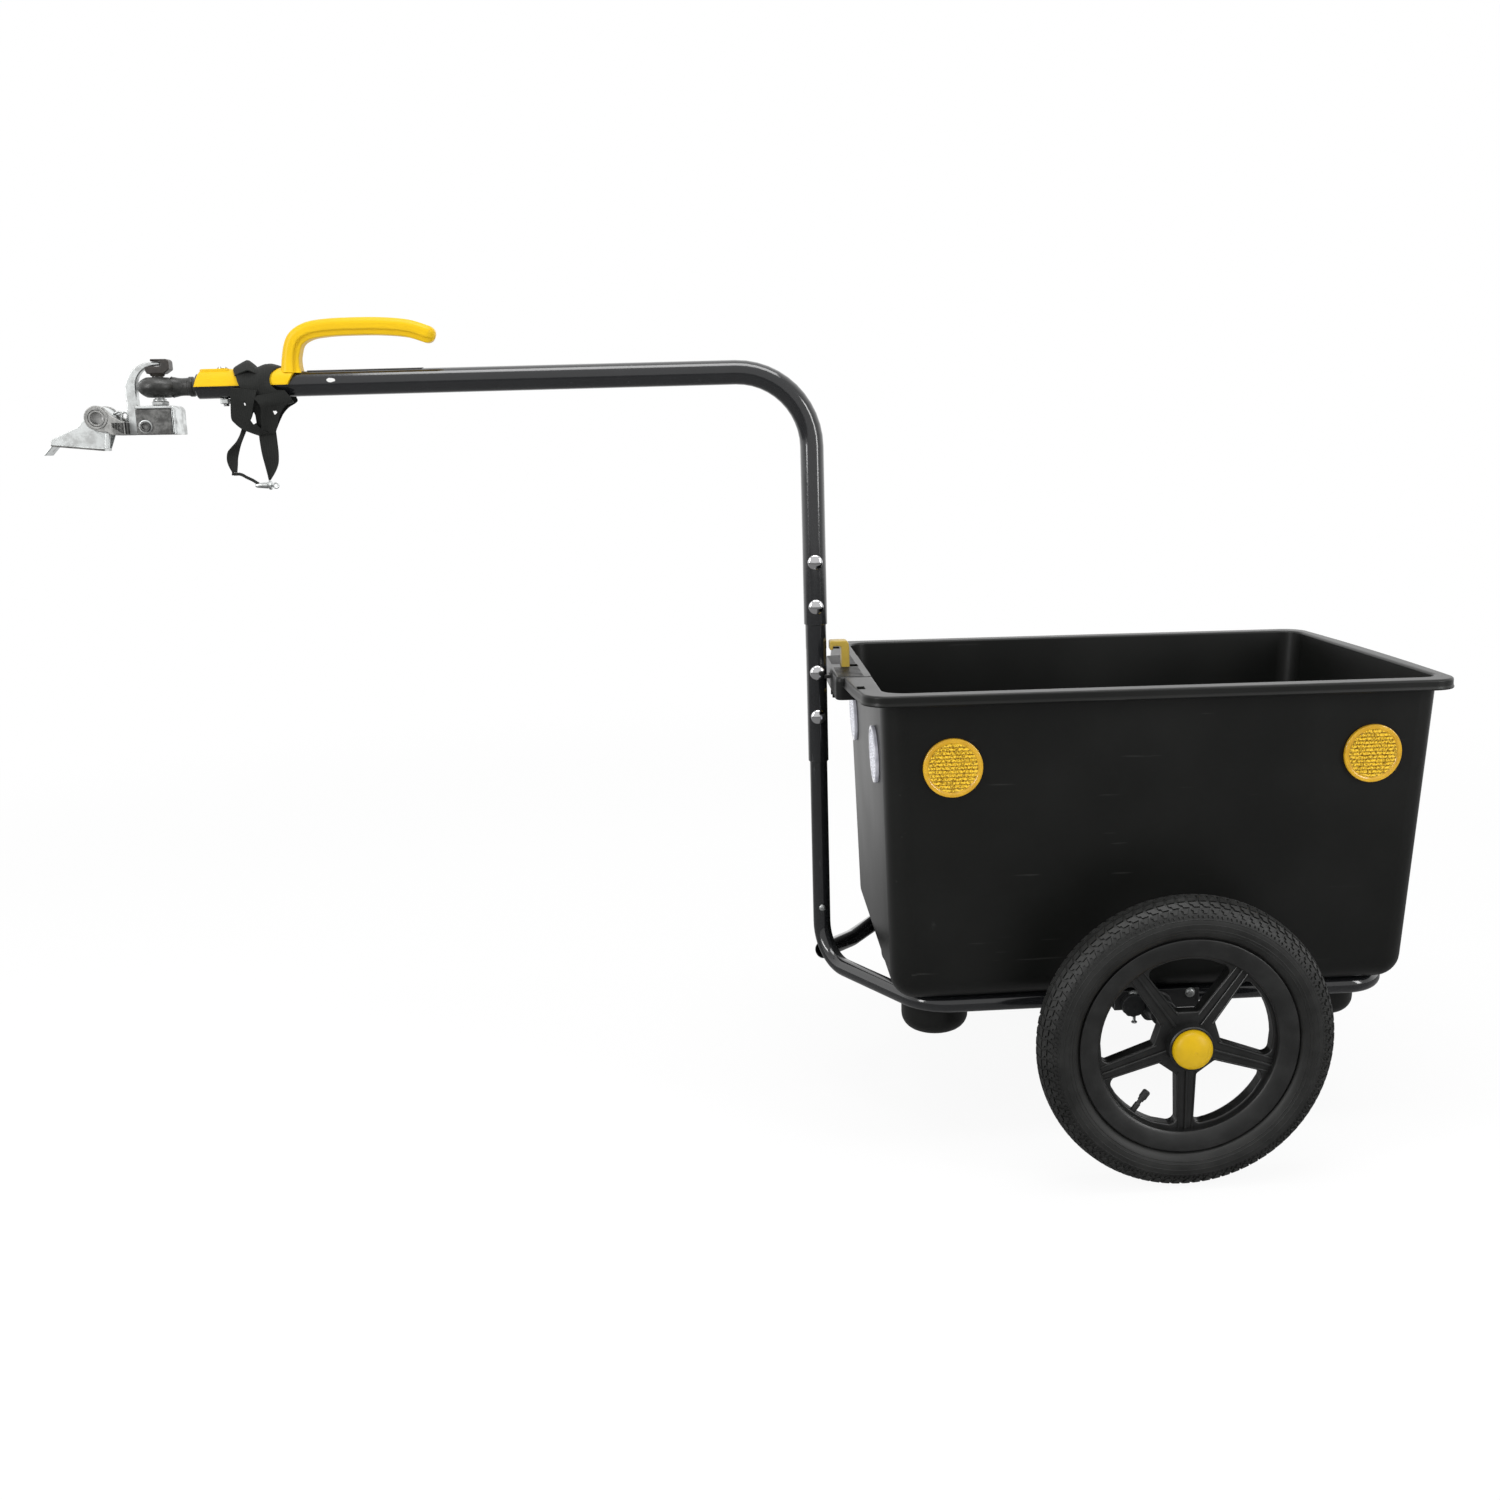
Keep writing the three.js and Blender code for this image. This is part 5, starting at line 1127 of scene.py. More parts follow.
outer = arc(0, 0, far_a.length, start * 0.75 + end * 0.25, start * 0.25 + end * 0.75, 6)
window = rounded([near_a, far_a, *outer, far_b, near_b], [0.004, 0.007, *[0] * len(outer), 0.007, 0.004], 6)
spoke_turns = [Matrix.Rotation(2 * pi * i / SPOKES, 2) for i in range(SPOKES)]
windows = [[turn @ Vector(point) for point in window] for turn in spoke_turns]
web = slab([circle(0.094, 96), circle(0.015, 48), *windows], -SPOKE_DEEP, SPOKE_DEEP, 0.0016, 3)


def tapered_bar(start, end, half_start, half_end, offset_start, offset_end, z0, z1):
    """A bar along -Y whose width, place and rounded top follow a spoke."""
    rows = []
    for y, half, middle in ((start, half_start, offset_start), (end, half_end, offset_end)):
        outline = [(-half, z0), (half, z0), (half, z1 - 0.0005), (half - 0.0005, z1)]
        outline += [(0.0005 - half, z1), (-half, z1 - 0.0005)]
        rows.append([Vector((middle + x, -y, z)) for x, z in outline])
    return loft(rows)


spoke_relief = together(*[
    tapered_bar(*measures, sign * (SPOKE_DEEP - 0.001), sign * (SPOKE_DEEP + rise))
    for sign in (1, -1) for *measures, rise in mm(
        (20, 91, 1.4, 1.2, 0, 0, 2.2), (30, 91, 0.8, 0.8, -8.8, -6.8, 1.2), (30, 91, 0.8, 0.8, 8.8, 6.8, 1.2),
    )
])
spoke_relief = copied(spoke_relief, moulded, SPOKES, turn=(0, 0, 2 * pi / SPOKES))
mark = brick(-0.0004, 0.0004, -0.0915, -0.0898, 0.0085, 0.0125, 0.0003, 0.0002)
marks = moved(copied(mark, moulded, 4, turn=(0, 0, 0.07)), Matrix.Rotation(0.1, 4, "Z"))

# Push button of the quick release: a yellow dome that fills the hub's recess.
BUTTON, CROWN, BUTTON_BASE = 0.0199, 0.0126, 0.0235
yellow = Finish("yellow_button", (0.56, 0.35, 0.003), 0.36, Specular_IOR_Level=0.25)
haze = yellow.noise(0.006, detail=4.0)
grime = yellow.noise(0.002, detail=3.0).between(0.68, 0.8)
yellow.paint(grime * 0.35, yellow.mix(haze, (0.6, 0.375, 0.003), (0.52, 0.325, 0.002)), (0.25, 0.15, 0.01))
yellow.set("Roughness", 0.3 + haze * 0.16)
yellow.bump(haze, 0.00004)
dome_angles = [radians(angle) for angle in (7, 12, 20, 30, 40, 50, 60, 68, 76, 84, 90)]
dome = [(BUTTON * sin(a), BUTTON_BASE + (CROWN - 0.0015) * cos(a)) for a in dome_angles]
button = turned([
    *mm((0.4, 34.4), (1.2, 34.4), (1.6, 34.6)), *dome, *mm((19.9, 19.4), (16.9, 19.4), (16.9, 23.5), (0.4, 23.5)),
], 72)
nylon = clouded(
    "nylon", (0.62, 0.59, 0.5), 0.45, dict(size=0.003), (0.38, 0.2), height=0.00005, Subsurface_Weight=0.1,
)
bush = turned(mm((6.3, 0), (11.5, 0), (12, 0.5), (12, 15.5), (11.5, 16), (6.3, 16)), 40, closed=True)
wheel = together(rim_part, hub_part, web, spoke_relief, marks)
for side, on_wheel in ON_WHEEL.items():
    body = "wheel_" + side
    dress("tyre_" + side, together(tyre_body, tread), rubber, body, on_wheel, sharp=28)
    dress("inner_tube_" + side, together(inner_body, valve), tube_rubber, body, on_wheel)
    dress("wheel_rim_" + side, wheel, moulded, body, on_wheel, sharp=32)
    dress("hub_button_" + side, button, yellow, "release_button_" + side, on_wheel)
    for name, height in (("hub_bush_inner_", -HUB_HALF), ("hub_bush_outer_", HUB_HALF - RECESS_DEPTH - 0.016)):
        dress(name + side, bush, nylon, body, on_wheel @ shift(0, 0, height))


# The carrying handle is one yellow moulding: a saddle on the drawbar and a grip that reaches back over it.
# The grip is round outside and has a narrower rib along its inner side.
# A round-headed bolt through the drawbar clamps the saddle, with a nut below. All is drawn along the drawbar.
SADDLE_INNER, SADDLE_OUTER, SADDLE_DROP = 0.013, 0.0165, 0.001
GRIP_START, GRIP_LENGTH, GRIP_RISE = 0.095, 0.143, 0.0556
GRIP_SHARES = [
    (0, 0.2), (0.01, 0.5), (0.05, 0.78), (0.14, 0.93), (0.27, 0.985), (0.45, 1), (0.66, 0.99), (0.84, 0.94),
    (0.97, 0.83),
]
GRIP_TIP = 0.00875


def with_aims(points):
    """Each point of a line, with the way in which the line runs there."""
    last = len(points) - 1
    return [(p, (points[min(i + 1, last)] - points[max(i - 1, 0)]).normalized()) for i, p in enumerate(points)]


def saddle_row(x, lean, shrink):
    """A half ring over the drawbar whose upper part leans back; its lower edge is a thin bead."""
    low = degrees(asin(SADDLE_DROP / SADDLE_OUTER))
    radius = SADDLE_OUTER - shrink
    outline = arc(0, 0, radius + 0.0003, -low, 3, 3) + arc(0, 0, radius, 6, 174, 40)
    outline += arc(0, 0, radius + 0.0003, 177, 180 + low, 3) + arc(0, 0, SADDLE_INNER, 180 + low, -low, 30)
    return [Vector((x + lean * (z + SADDLE_DROP) / SADDLE_OUTER, y, z)) for y, z in outline]


saddle = loft([
    saddle_row(*row) for row in mm(
        (0, 5.2, 1.2), (0.4, 5.2, 0.4), (1.3, 5.2, 0), (12, 3, 0), (30, 0, 0), (78, 0, 0), (88, 4, 0),
        (91.5, 7.8, 0), (92.5, 8.2, 0.4), (93, 8.2, 1.2),
    )
])
pad = brick(0.0052, 0.0344, -0.009, 0.009, 0.012, 0.0168, 0.003, 0.0012)
spine = [Vector(p) for p in smooth([(GRIP_START + GRIP_LENGTH * a, 0, GRIP_RISE * b) for a, b in GRIP_SHARES], 8)]
grip_path = with_aims(spine)
grip_outline = rounded(mm(
    (11, 8.75), (-11, 8.75), (-11, -3.6), (-8.2, -3.6), (-7.8, -8.75), (7.8, -8.75), (8.2, -3.6), (11, -3.6),
), [0.0068, 0.0068, 0.0018, 0.0006, 0.0018, 0.0018, 0.0006, 0.0018], 7)
grip_scales = [1 + 0.22 * max(0.0, 1 - i / 9) ** 2 for i in range(len(grip_path))]
tip, tip_aim = grip_path[-1]
for k in range(1, 8):
    angle = radians(88 * k / 7)
    grip_path.append((tip + tip_aim * GRIP_TIP * sin(angle), tip_aim))
    grip_scales.append(cos(angle))
grip = loft(sweep(grip_path, [[(u * s, v * s) for u, v in grip_outline] for s in grip_scales]))
yellow_grip = Finish("yellow_grip", (0.69, 0.43, 0.003), 0.4, Specular_IOR_Level=0.22)
faded = yellow_grip.noise(0.03, detail=4.0)
dirt = yellow_grip.noise(0.004, detail=5.0, rough=0.7).between(0.66, 0.82)
handle_yellow = yellow_grip.mix(faded, (0.73, 0.465, 0.004), (0.65, 0.395, 0.003))
yellow_grip.paint(dirt * 0.12, handle_yellow, (0.36, 0.22, 0.02))
yellow_grip.set("Roughness", 0.34 + faded * 0.12)
dress("handle", together(saddle, pad, grip), yellow_grip, at=ALONG_DRAWBAR, sharp=40)
HANDLE_BOLT_X = 0.026
clamp_bolt = together(dome_head(0.0055, 0.003, 0.0171), threaded(0.003, -0.0205, 0.0172))
at_bolt = ALONG_DRAWBAR @ shift(HANDLE_BOLT_X, 0, 0)
dress("handle_bolt", clamp_bolt, chrome, at=at_bolt)
dress("handle_nut", hexagon(0.006, -0.018, -0.0131), zinc, at=at_bolt)


# The safety strap is black webbing wound twice round drawbar and saddle, with its slack hanging in folds.
# A twisted tail in front and a broad one behind are joined by a short cord and a spring hook.
webbing = Finish("webbing", (0.006, 0.0065, 0.006), 0.8, Specular_IOR_Level=0.3)
RIB, WEBBING_HALF, ACROSS = 0.0011, 0.0007, 12
inputs = {"Vector": webbing.place, "Scale": 1 / RIB / 6, "Distortion": 0.4}
threads = webbing.node("TexWave", {"wave_profile": "SIN"}, inputs)
crossing = webbing.node("TexVoronoi", inputs={"Vector": webbing.place, "Scale": 1 / RIB})
fuzz = webbing.noise(0.0015, detail=4.0)
lint = webbing.noise(0.02, detail=5.0, rough=0.65)
weave_height = threads * 0.5 + crossing * 0.5
webbing.paint(weave_height * 0.5 + lint * 0.5, (0.004, 0.0043, 0.004), (0.017, 0.0185, 0.0165))
webbing.set("Roughness", 0.66 + fuzz * 0.25)
webbing.bump(weave_height + fuzz * 0.3, 0.0001)


def strip(left, right, bow, steps=5, peak=0.5, fold=2.0):
    """Webbing between two edges given by a few points each, bowed towards the side its edges turn round.

    The bow is highest at a share of the width; a low fold makes it a crease.
    """
    left, right = ([Vector(p) for p in smooth(edge, steps)] for edge in (left, right))
    grid = [[a.lerp(b, j / ACROSS) for j in range(ACROSS + 1)] for a, b in zip(left, right)]
    rows = []
    for i, line in enumerate(grid):
        ahead, behind = grid[min(i + 1, len(grid) - 1)], grid[max(i - 1, 0)]
        face, back = [], []
        for j, point in enumerate(line):
            sideways = line[min(j + 1, ACROSS)] - line[max(j - 1, 0)]
            normal = sideways.cross(ahead[j] - behind[j]).normalized()
            share = j / ACROSS
            outward = 1 - (abs(share - peak) / (peak if share < peak else 1 - peak)) ** fold
            half = WEBBING_HALF * (1 if 0 < j < ACROSS else 0.56)
            face.append(point + normal * (bow * outward + half))
            back.append(point + normal * (bow * outward - half))
        rows.append(face + back[::-1])
    return loft(rows)


def wound(stations, **shape):
    """A turn round the drawbar: degrees from its top towards the left, then front x, rear x and radius in mm."""
    edges = [[], []]
    for angle, *measures in stations:
        a = radians(angle)
        front_x, rear_x, radius = mm(measures)[0]
        for edge, x in zip(edges, (front_x, rear_x)):
            edge.append((x, -radius * sin(a), radius * cos(a)))
    return strip(*edges, steps=6, **shape)


first_turn = wound([
    (-185, 60, 90, 18.6), (-140, 52, 86, 18.8), (-95, 44, 76, 18.6), (-55, 40, 68, 18.8), (-25, 38.5, 61, 17.6),
    (0, 39, 61, 17), (25, 40.5, 64, 17.6), (50, 42, 74.5, 18.6), (90, 45.5, 76.5, 18.6), (122, 50, 86.5, 19),
    (150, 56, 95, 19.6), (175, 60, 94, 18.6),
], bow=-0.0018)
knot = wound([
    (-75, 44, 60, 18), (-40, 41.5, 60, 17.6), (0, 38.8, 60.8, 17.4), (30, 39.2, 62.5, 17.8), (62, 42, 66, 18.6),
], bow=-0.007, peak=0.62, fold=1.15)
second_turn = wound([
    (-185, 58, 84, 17.6), (-120, 62, 86, 17.8), (-60, 64, 85.5, 18), (-25, 64, 84.5, 18.4), (0, 61.2, 83.8, 16.6),
    (25, 61, 82, 17.2), (55, 60, 77.2, 17.8), (90, 57, 76.5, 17.6), (130, 57, 82, 17.6), (175, 58, 84, 17.8),
], bow=-0.0034, peak=0.45, fold=1.3)
front_lines = [
    mm(
        (37.2, -18.3, -3), (35.6, -15, -14), (33.2, -10.5, -25), (32.2, -8, -33), (34, -6.2, -37.2),
        (40.2, -4.5, -43.5), (48, -3, -47.5), (56, -2, -50.8),
    ),
    mm(
        (90, -18.3, -7), (95.5, -16, -16), (87.2, -11.5, -22.5), (82.2, -9.2, -28), (79.8, -7.8, -32),
        (76.8, -5.5, -38.5), (74.2, -3.5, -45), (72.8, -2, -49),
    ),
]
left_lines = [front_lines[0], mm(
    (64, -20, -6), (60, -18.5, -16), (56, -14, -25), (54, -11, -32), (55, -9.2, -37), (58, -7, -41.5),
    (62, -5, -45.2), (66, -3.2, -48.2),
)]
right_lines = [mm(
    (58, -20, -12), (64, -19, -20), (64, -15, -26.5), (62.5, -12.5, -32), (61.5, -10.5, -36.5), (61, -8.5, -42),
    (59.5, -6, -46.5), (58.5, -3.5, -50),
), front_lines[1]]
left_lines = [[(x, y - 0.0016, z) for x, y, z in edge] for edge in left_lines]
right_lines = [[(x, y - 0.0008, z) for x, y, z in edge] for edge in right_lines]
back_lines = [[(x - 0.002, 0.001 - y * 0.9, z) for x, y, z in edge] for edge in front_lines]
SIGHT = 0.29
gap_outlines = [
    mm((45.5, -16.5), (47, -17.2), (47.6, -20.5), (46.4, -20.8)),
    mm((54.5, -26.2), (55.8, -30), (56.2, -37.8), (53.2, -39.6), (50.5, -35.2), (52.5, -31.5)),
    mm((73.5, -25.5), (75.2, -26.2), (77.2, -25.8), (78.5, -28), (75.2, -30.6), (74.2, -28)),
]
gap_cutters = []
for outline in gap_outlines:
    cutter = side_slab([rounded(outline, 0.0004, 2)], -0.03, 0.03, 0.0001, 0)
    gap_cutters.append(([Vector((p.x - SIGHT * (p.y + 0.008), p.y, p.z)) for p in cutter[0]], cutter[1]))
slack = [
    combined("DIFFERENCE", strip(*lines, bow), *gap_cutters)
    for lines, bow in ((front_lines, 0.0012), (left_lines, 0.001), (right_lines, 0.0014), (back_lines, 0.0012))
]


def cloth_sheet(name, part):
    """A dressed piece of webbing."""
    piece = dress(name, part, webbing, at=ALONG_DRAWBAR, sharp=50)


# The short cord is twisted and stiff; its first end is sewn into the front tail, its last into the hook.
CORD, CORD_LAY = 0.0017, 0.006
cord_route = mm(
    (24, -88.5), (27, -89), (31, -89), (34.5, -90.2), (38, -92.5), (44, -95.7), (47.8, -98.4), (52.5, -101.6),
)
cord_line = [Vector(p) for p in smooth([(x, 0, z) for x, z in cord_route], 8)]
travel = 0
outlines = []
for before, point in zip([cord_line[0], *cord_line], cord_line):
    travel += (point - before).length
    outlines.append(lobed(CORD * 0.9, CORD * 0.1, 3, 30, 2 * pi * travel / CORD_LAY))
strap_cord = dress("strap_cord", loft(sweep(with_aims(cord_line), outlines)), webbing, at=ALONG_DRAWBAR)
hook_barrel = turned(mm(
    (0.4, 46), (1.4, 46.2), (2.2, 47.5), (2.6, 50), (3.4, 58.5), (3, 59.2), (2.4, 60), (4.4, 60.2), (4.7, 60.6),
    (4.7, 62.2), (4.4, 62.6), (1.8, 62.8), (1.8, 65), (0.3, 65.2),
), 32)
hook_barrel = moved(hook_barrel, shift(0, 0, -0.1013) @ Matrix.Rotation(pi / 2, 4, "Y"))
eyelet = turned([(0.0026 + x, z) for x, z in circle(0.0009, 12)], 32, closed=True)
eyelet = moved(eyelet, shift(0.0668, 0, -0.1018) @ LEFTWARD)
strap_clip = dress("strap_clip", together(hook_barrel, eyelet), zinc, at=ALONG_DRAWBAR)
front_tail = strip(mm(
    (39.5, -2, -42.5), (37.2, -4, -50), (33, -5, -56.8), (27.2, -4, -62), (22.6, -3, -66.8), (20.6, -1.5, -73.5),
    (21.4, -1, -80), (24.2, -0.5, -87.2),
), mm(
    (43, 2, -44), (38.8, 4, -50.8), (35.2, 5, -57.4), (33.8, 4, -62), (32.6, 3, -66.8), (31.2, 1.5, -73.5),
    (30.4, 1, -80), (29.2, 0.5, -87.4),
), bow=0.0006)
rear_tail = strip(mm(
    (55.5, -1.5, -49), (56, -3, -58), (57.2, -4, -70), (58.5, -3, -80), (59.4, -1.5, -88.5), (60.2, -0.5, -96.5),
), mm(
    (73, -1.5, -46.5), (72.7, 1, -58), (72.4, 2, -70), (71, 2, -80), (67.2, 1, -88.5), (61.8, 0.5, -96.2),
), bow=0.0014)
wrap = together(first_turn, knot, second_turn, *slack)
cloth_sheet("strap_wrap", wrap)
cloth_sheet("strap_tail_front", front_tail)
cloth_sheet("strap_tail_rear", rear_tail)


# The hitch eye is a dark rubber-covered ring on a short neck, whose shank is clamped inside the drawbar.
# A nylon seat in it holds a steel ball, on whose kingpin the coupler swings. All is drawn round the eye's middle.
AT_EYE = Matrix.Translation(ALONG_DRAWBAR @ Vector((-0.039, 0, 0)))
TILTED = AT_EYE @ Matrix.Rotation(-FALL, 4, "Y") @ Matrix.Rotation(pi / 2, 4, "Y")
EYE, EYE_HALF, SEAT, MOUTH = 0.02, 0.012, 0.0138, 0.0109
eye_outside = [
    (r, EYE_HALF * sqrt(max(0.0, 1 - (r / EYE) ** 2)))
    for r in (0.0124, 0.014, 0.0155, 0.0168, 0.0179, 0.0188, 0.0194, 0.0198, EYE)
]
mouth_z = sqrt(SEAT ** 2 - MOUTH ** 2)
eye_inside = [(MOUTH, mouth_z), (0.0123, mouth_z - 0.0024), (0.0133, mouth_z - 0.005), (SEAT, 0)]
eye_half = [(MOUTH, mouth_z), (MOUTH + 0.0003, mouth_z + 0.0007), (0.0117, 0.0098), *eye_outside]
eye_profile = eye_half + below(eye_half)[1:] + [(r, -z) for r, z in eye_inside[1:]] + eye_inside[-2:0:-1]
eye_ring = turned(eye_profile, 96, closed=True)
neck = turned(mm(
    (0.3, 15), (10.2, 15), (9.8, 17.5), (9.1, 20.5), (8.8, 24), (8.9, 28), (9.1, 30.5), (9.8, 31.1), (10, 31.6),
    (10, 34.6), (9.8, 35.1), (9.1, 35.7), (9, 39.2), (11.1, 39.3), (11.1, 100), (0.3, 100),
), 48)
seam = turned(mm((10.2, -0.3), (10.7, 0), (10.2, 0.3), (6, 0.3), (6, -0.3)), 48, closed=True)
seam = moved(seam, TILTED @ shift(0, 0, 0.014))
pip = moved(dome_head(0.0011, 0.0007, 0.0), AT_EYE @ shift(0.0262, -0.0086, 0.0012) @ LEFTWARD)
rubbery = clouded(
    "eye_rubber", (0.024, 0.024, 0.023), 0.42, dict(size=0.008, detail=5.0, rough=0.6), (0.32, 0.18),
    ((0.01, 0.0105, 0.0095), (0.024, 0.024, 0.022)), (0.35, 0.7), dict(size=0.0009, detail=2.0), 0.00002,
)
eye_part = together(moved(eye_ring, AT_EYE), moved(neck, TILTED), seam, pip)
dress("hitch_eye", eye_part, rubbery)
seat_heights = (-0.008, -0.006, -0.003, 0, 0.003, 0.006, 0.008)
outer_seat = [(sqrt(0.0132 ** 2 - z ** 2), z) for z in seat_heights]
inner_seat = [(sqrt(0.0115 ** 2 - z ** 2), z) for z in seat_heights[::-1]]
dress("ball_seat", turned(outer_seat + inner_seat, 64, closed=True), nylon, "ball_seat", AT_EYE)
ball_outside = [(sqrt(0.011 ** 2 - z ** 2), z) for z in [0.009 * k / 8 for k in range(-8, 9)]]
ball = turned(ball_outside + [(0.0053, 0.009), (0.0053, -0.009)], 64, closed=True)
dress("hitch_ball", ball, zinc, "hitch_ball", AT_EYE)

# The coupler: a kingpin, a flat steel safety hook that reaches over the eye, a black cap on its tip,
# a bent plate and a cast block that is bolted between its legs.
kingpin = together(
    turned(mm((0.3, -44), (4.5, -44), (5, -43.5), (5, 16.2), (4.4, 17), (0.3, 17)), 40),
    hexagon(0.0086, -0.018, -0.0136, 0.0008),
    turned(mm((5.2, -13.7), (6.6, -13.7), (6.6, -12), (6, -11.6), (5.2, -11.6)), 40, closed=True),
)
dress("kingpin", kingpin, zinc, "coupler", AT_EYE)


def bar_row(inner, outer, half, rounding):
    """A rounded section of a flat bar between its inner and outer line, given in X and Z."""
    inner, outer = Vector((inner[0], 0, inner[1])), Vector((outer[0], 0, outer[1]))
    reach = (outer - inner).length / 2
    out = (outer - inner).normalized()
    corner = min(rounding, reach * 0.98, half * 0.98)
    outline = box_ring(-reach, reach, -half, half, corner, 0, 5)
    return [(inner + outer) / 2 + out * p.x + Vector((0, p.y, 0)) for p in outline]


HOOK_IN, HOOK_OUT, HOOK_SHIFT, HOOK_HALF, COUPLER_BOTTOM = 0.0215, 0.02875, 0.00325, 0.0045, -0.047
HOOK_FOOT = -HOOK_OUT - HOOK_SHIFT
hook_rows = [
    bar_row((-HOOK_IN, z), (HOOK_FOOT, z), HOOK_HALF - shrink, 0.001)
    for z, shrink in ((COUPLER_BOTTOM, 0.0006), (COUPLER_BOTTOM + 0.0006, 0), (-0.02, 0), (-0.0034, 0))
]
for step in range(1, 25):
    share = step / 24
    a = radians(180 - 90 * share)
    inner = HOOK_IN * cos(a), HOOK_IN * sin(a)
    outer = HOOK_OUT * cos(a) - HOOK_SHIFT, HOOK_OUT * sin(a) - HOOK_SHIFT
    hook_rows.append(bar_row(inner, outer, HOOK_HALF - 0.0006 * share, 0.001 + 0.0007 * share))
for x, shrink in mm((1.5, 0), (3.2, 0.1), (4.2, 0.5), (4.8, 1.1), (5, 1.6)):
    hook_rows.append(bar_row((x, HOOK_IN + shrink * 0.9), (x, 0.0254 - shrink * 0.9), 0.0038 - shrink, 0.0018))
dress("safety_hook", loft(hook_rows), zinc, "coupler", AT_EYE)
cap_side = rounded(mm(
    (-8.5, 13.4), (8, 13.4), (14, 17.5), (14, 28), (-4, 28), (-4, 25.8), (5.8, 25.8), (5.8, 20.8), (-10.5, 20.6),
    (-10, 16.8),
), [0.001, 0.0012, 0.0022, 0.0034, 0.0006, 0.0003, 0.0022, 0.0022, 0.001, 0.001], 5)
cap_plastic = clouded(
    "cap_plastic", (0.02, 0.0165, 0.0145), 0.38, dict(size=0.006, detail=4.0), (0.3, 0.18),
    ((0.013, 0.011, 0.01), (0.032, 0.026, 0.022)), grain=dict(size=0.001), height=0.00004,
)
boot = turned(mm(
    (5.2, 9.2), (5.45, 9.2), (5.45, 11.2), (6.2, 11.2), (7, 12.2), (7.8, 14), (5.2, 14),
), 40, closed=True)
dress("hook_cap", together(side_slab([cap_side], -0.0065, 0.0065, 0.001, 3), boot), cap_plastic, "coupler", AT_EYE)
PLATE_TOP, PLATE_SHEET, PLATE_HALF = -0.0183, 0.003, 0.015
plate_front = 0.0003 - HOOK_IN
yoke_side = rounded(mm(
    (-21.2, -18.3), (-21.2, -21.3), (16, -21.3), (16, -47), (19, -47), (19, -18.3),
), [0.0004, 0.0004, 0.002, 0.0004, 0.0004, 0.0052], 6)
stays = [
    brick(0.0143, 0.0152, y0, y1, COUPLER_BOTTOM + 0.0015, PLATE_TOP - PLATE_SHEET, 0.0004, 0.0003)
    for y0, y1 in ((-0.0136, -0.011), (0.011, 0.0136))
]
yoke_part = together(side_slab([yoke_side], -PLATE_HALF, PLATE_HALF, 0.0006), *stays)
dress("yoke_plate", yoke_part, zinc, "coupler", AT_EYE)


def cast_finish(name, dark, light):
    """Cast iron with a mottled skin."""
    cast = clouded(
        name, (light,) * 3, 0.45, dict(size=0.006, detail=5.0, rough=0.65), (0.34, 0.25),
        ((dark, dark, dark * 0.97), (light, light, light * 0.97)), (0.35, 0.7), dict(size=0.004), 0.00008,
        metallic=0.85,
    )
    cast.slot = "cast"
    return cast


# The block's iron and the fork's iron are one cast iron in one slot, in two brightnesses: the block's darker copy is
# painted shade for the block that sits between the lugs and under the plate, and the block's bolt uses it too.
shaded_block_iron = cast_finish("shaded_block_iron", 0.075, 0.19)
fork_iron = cast_finish("fork_iron", 0.22, 0.38)
block_top = PLATE_TOP - PLATE_SHEET - 0.0003
block_part = brick(plate_front, 0.014, -0.014, 0.014, COUPLER_BOTTOM, block_top, 0.0012, 0.0008)
dress("coupler_block", block_part, shaded_block_iron, "coupler", AT_EYE)
BOLT_PLACE = AT_EYE @ shift(-0.012, 0, -0.039) @ LEFTWARD
socket_head = turned(mm(
    (3.4, 14.3), (5, 14.3), (5.3, 14.7), (5.3, 16.7), (5, 17.2), (3.6, 17.3), (3.1, 16.8), (3.1, 15),
), 48, closed=True)
head_ring = turned(mm((5.4, 13.9), (6.6, 13.9), (6.6, 14.5), (5.4, 14.7)), 48, closed=True)
socket_floor = turned(mm((0.3, 14.3), (3.6, 14.3), (3.6, 15.3), (0.3, 15)), 32)
bolt_part = together(socket_head, socket_floor, threaded(0.003, -0.01, 0.0146))
dress("coupler_bolt", bolt_part, shaded_block_iron, "coupler", BOLT_PLACE)
dress("coupler_washer", head_ring, zinc, "coupler", BOLT_PLACE, replaces=())

# The fork is a grey casting whose two lugs carry a hollow cross pivot; the cam lever swings on it.
# The lever is folded from zinc-plated sheet, and a wire bail springs from the casting's top.
FORK_X, FORK_Z, LUG, LUG_BORE = -0.059, -0.03, 0.0125, 0.0085
BRIDGE_REAR, BRIDGE_FRONT = HOOK_FOOT - 0.0003, -0.046
lug_outline = [(BRIDGE_REAR, COUPLER_BOTTOM), (BRIDGE_REAR, -0.0335), (-0.037, -0.0325), (BRIDGE_FRONT, -0.0265)]
lug_outline += arc(FORK_X, FORK_Z, LUG, 52, 232, 28) + mm((-58.5, -43.5), (-50, -44), (-46, -47))
lug_bore = arc(FORK_X, FORK_Z, LUG_BORE, 0, 360, 48)[:-1]
bore_edge = turned([(LUG_BORE, 0), *mm((10.8, 0), (10.8, 0.4), (10.4, 0.7)), (LUG_BORE, 0.0007)], closed=True)
lugs = together(
    *[side_slab([lug_outline, lug_bore], y0, y1, 0.0008, 3) for y0, y1 in ((-0.015, -0.0103), (0.0103, 0.015))],
    brick(BRIDGE_FRONT, BRIDGE_REAR, -0.015, 0.015, COUPLER_BOTTOM, -0.034, 0.001, 0.0008),
    *[
        moved(bore_edge, shift(FORK_X, side * 0.015, FORK_Z) @ Matrix.Rotation(-side * pi / 2, 4, "X"))
        for side in (-1, 1)
    ],
)
dress("fork_lugs", lugs, fork_iron, "coupler", AT_EYE)
pivot = turned(mm((6.2, -15.6), (7.8, -15.6), (8.2, -15.2), (8.2, 15.2), (7.8, 15.6), (6.2, 15.6)), 64, closed=True)
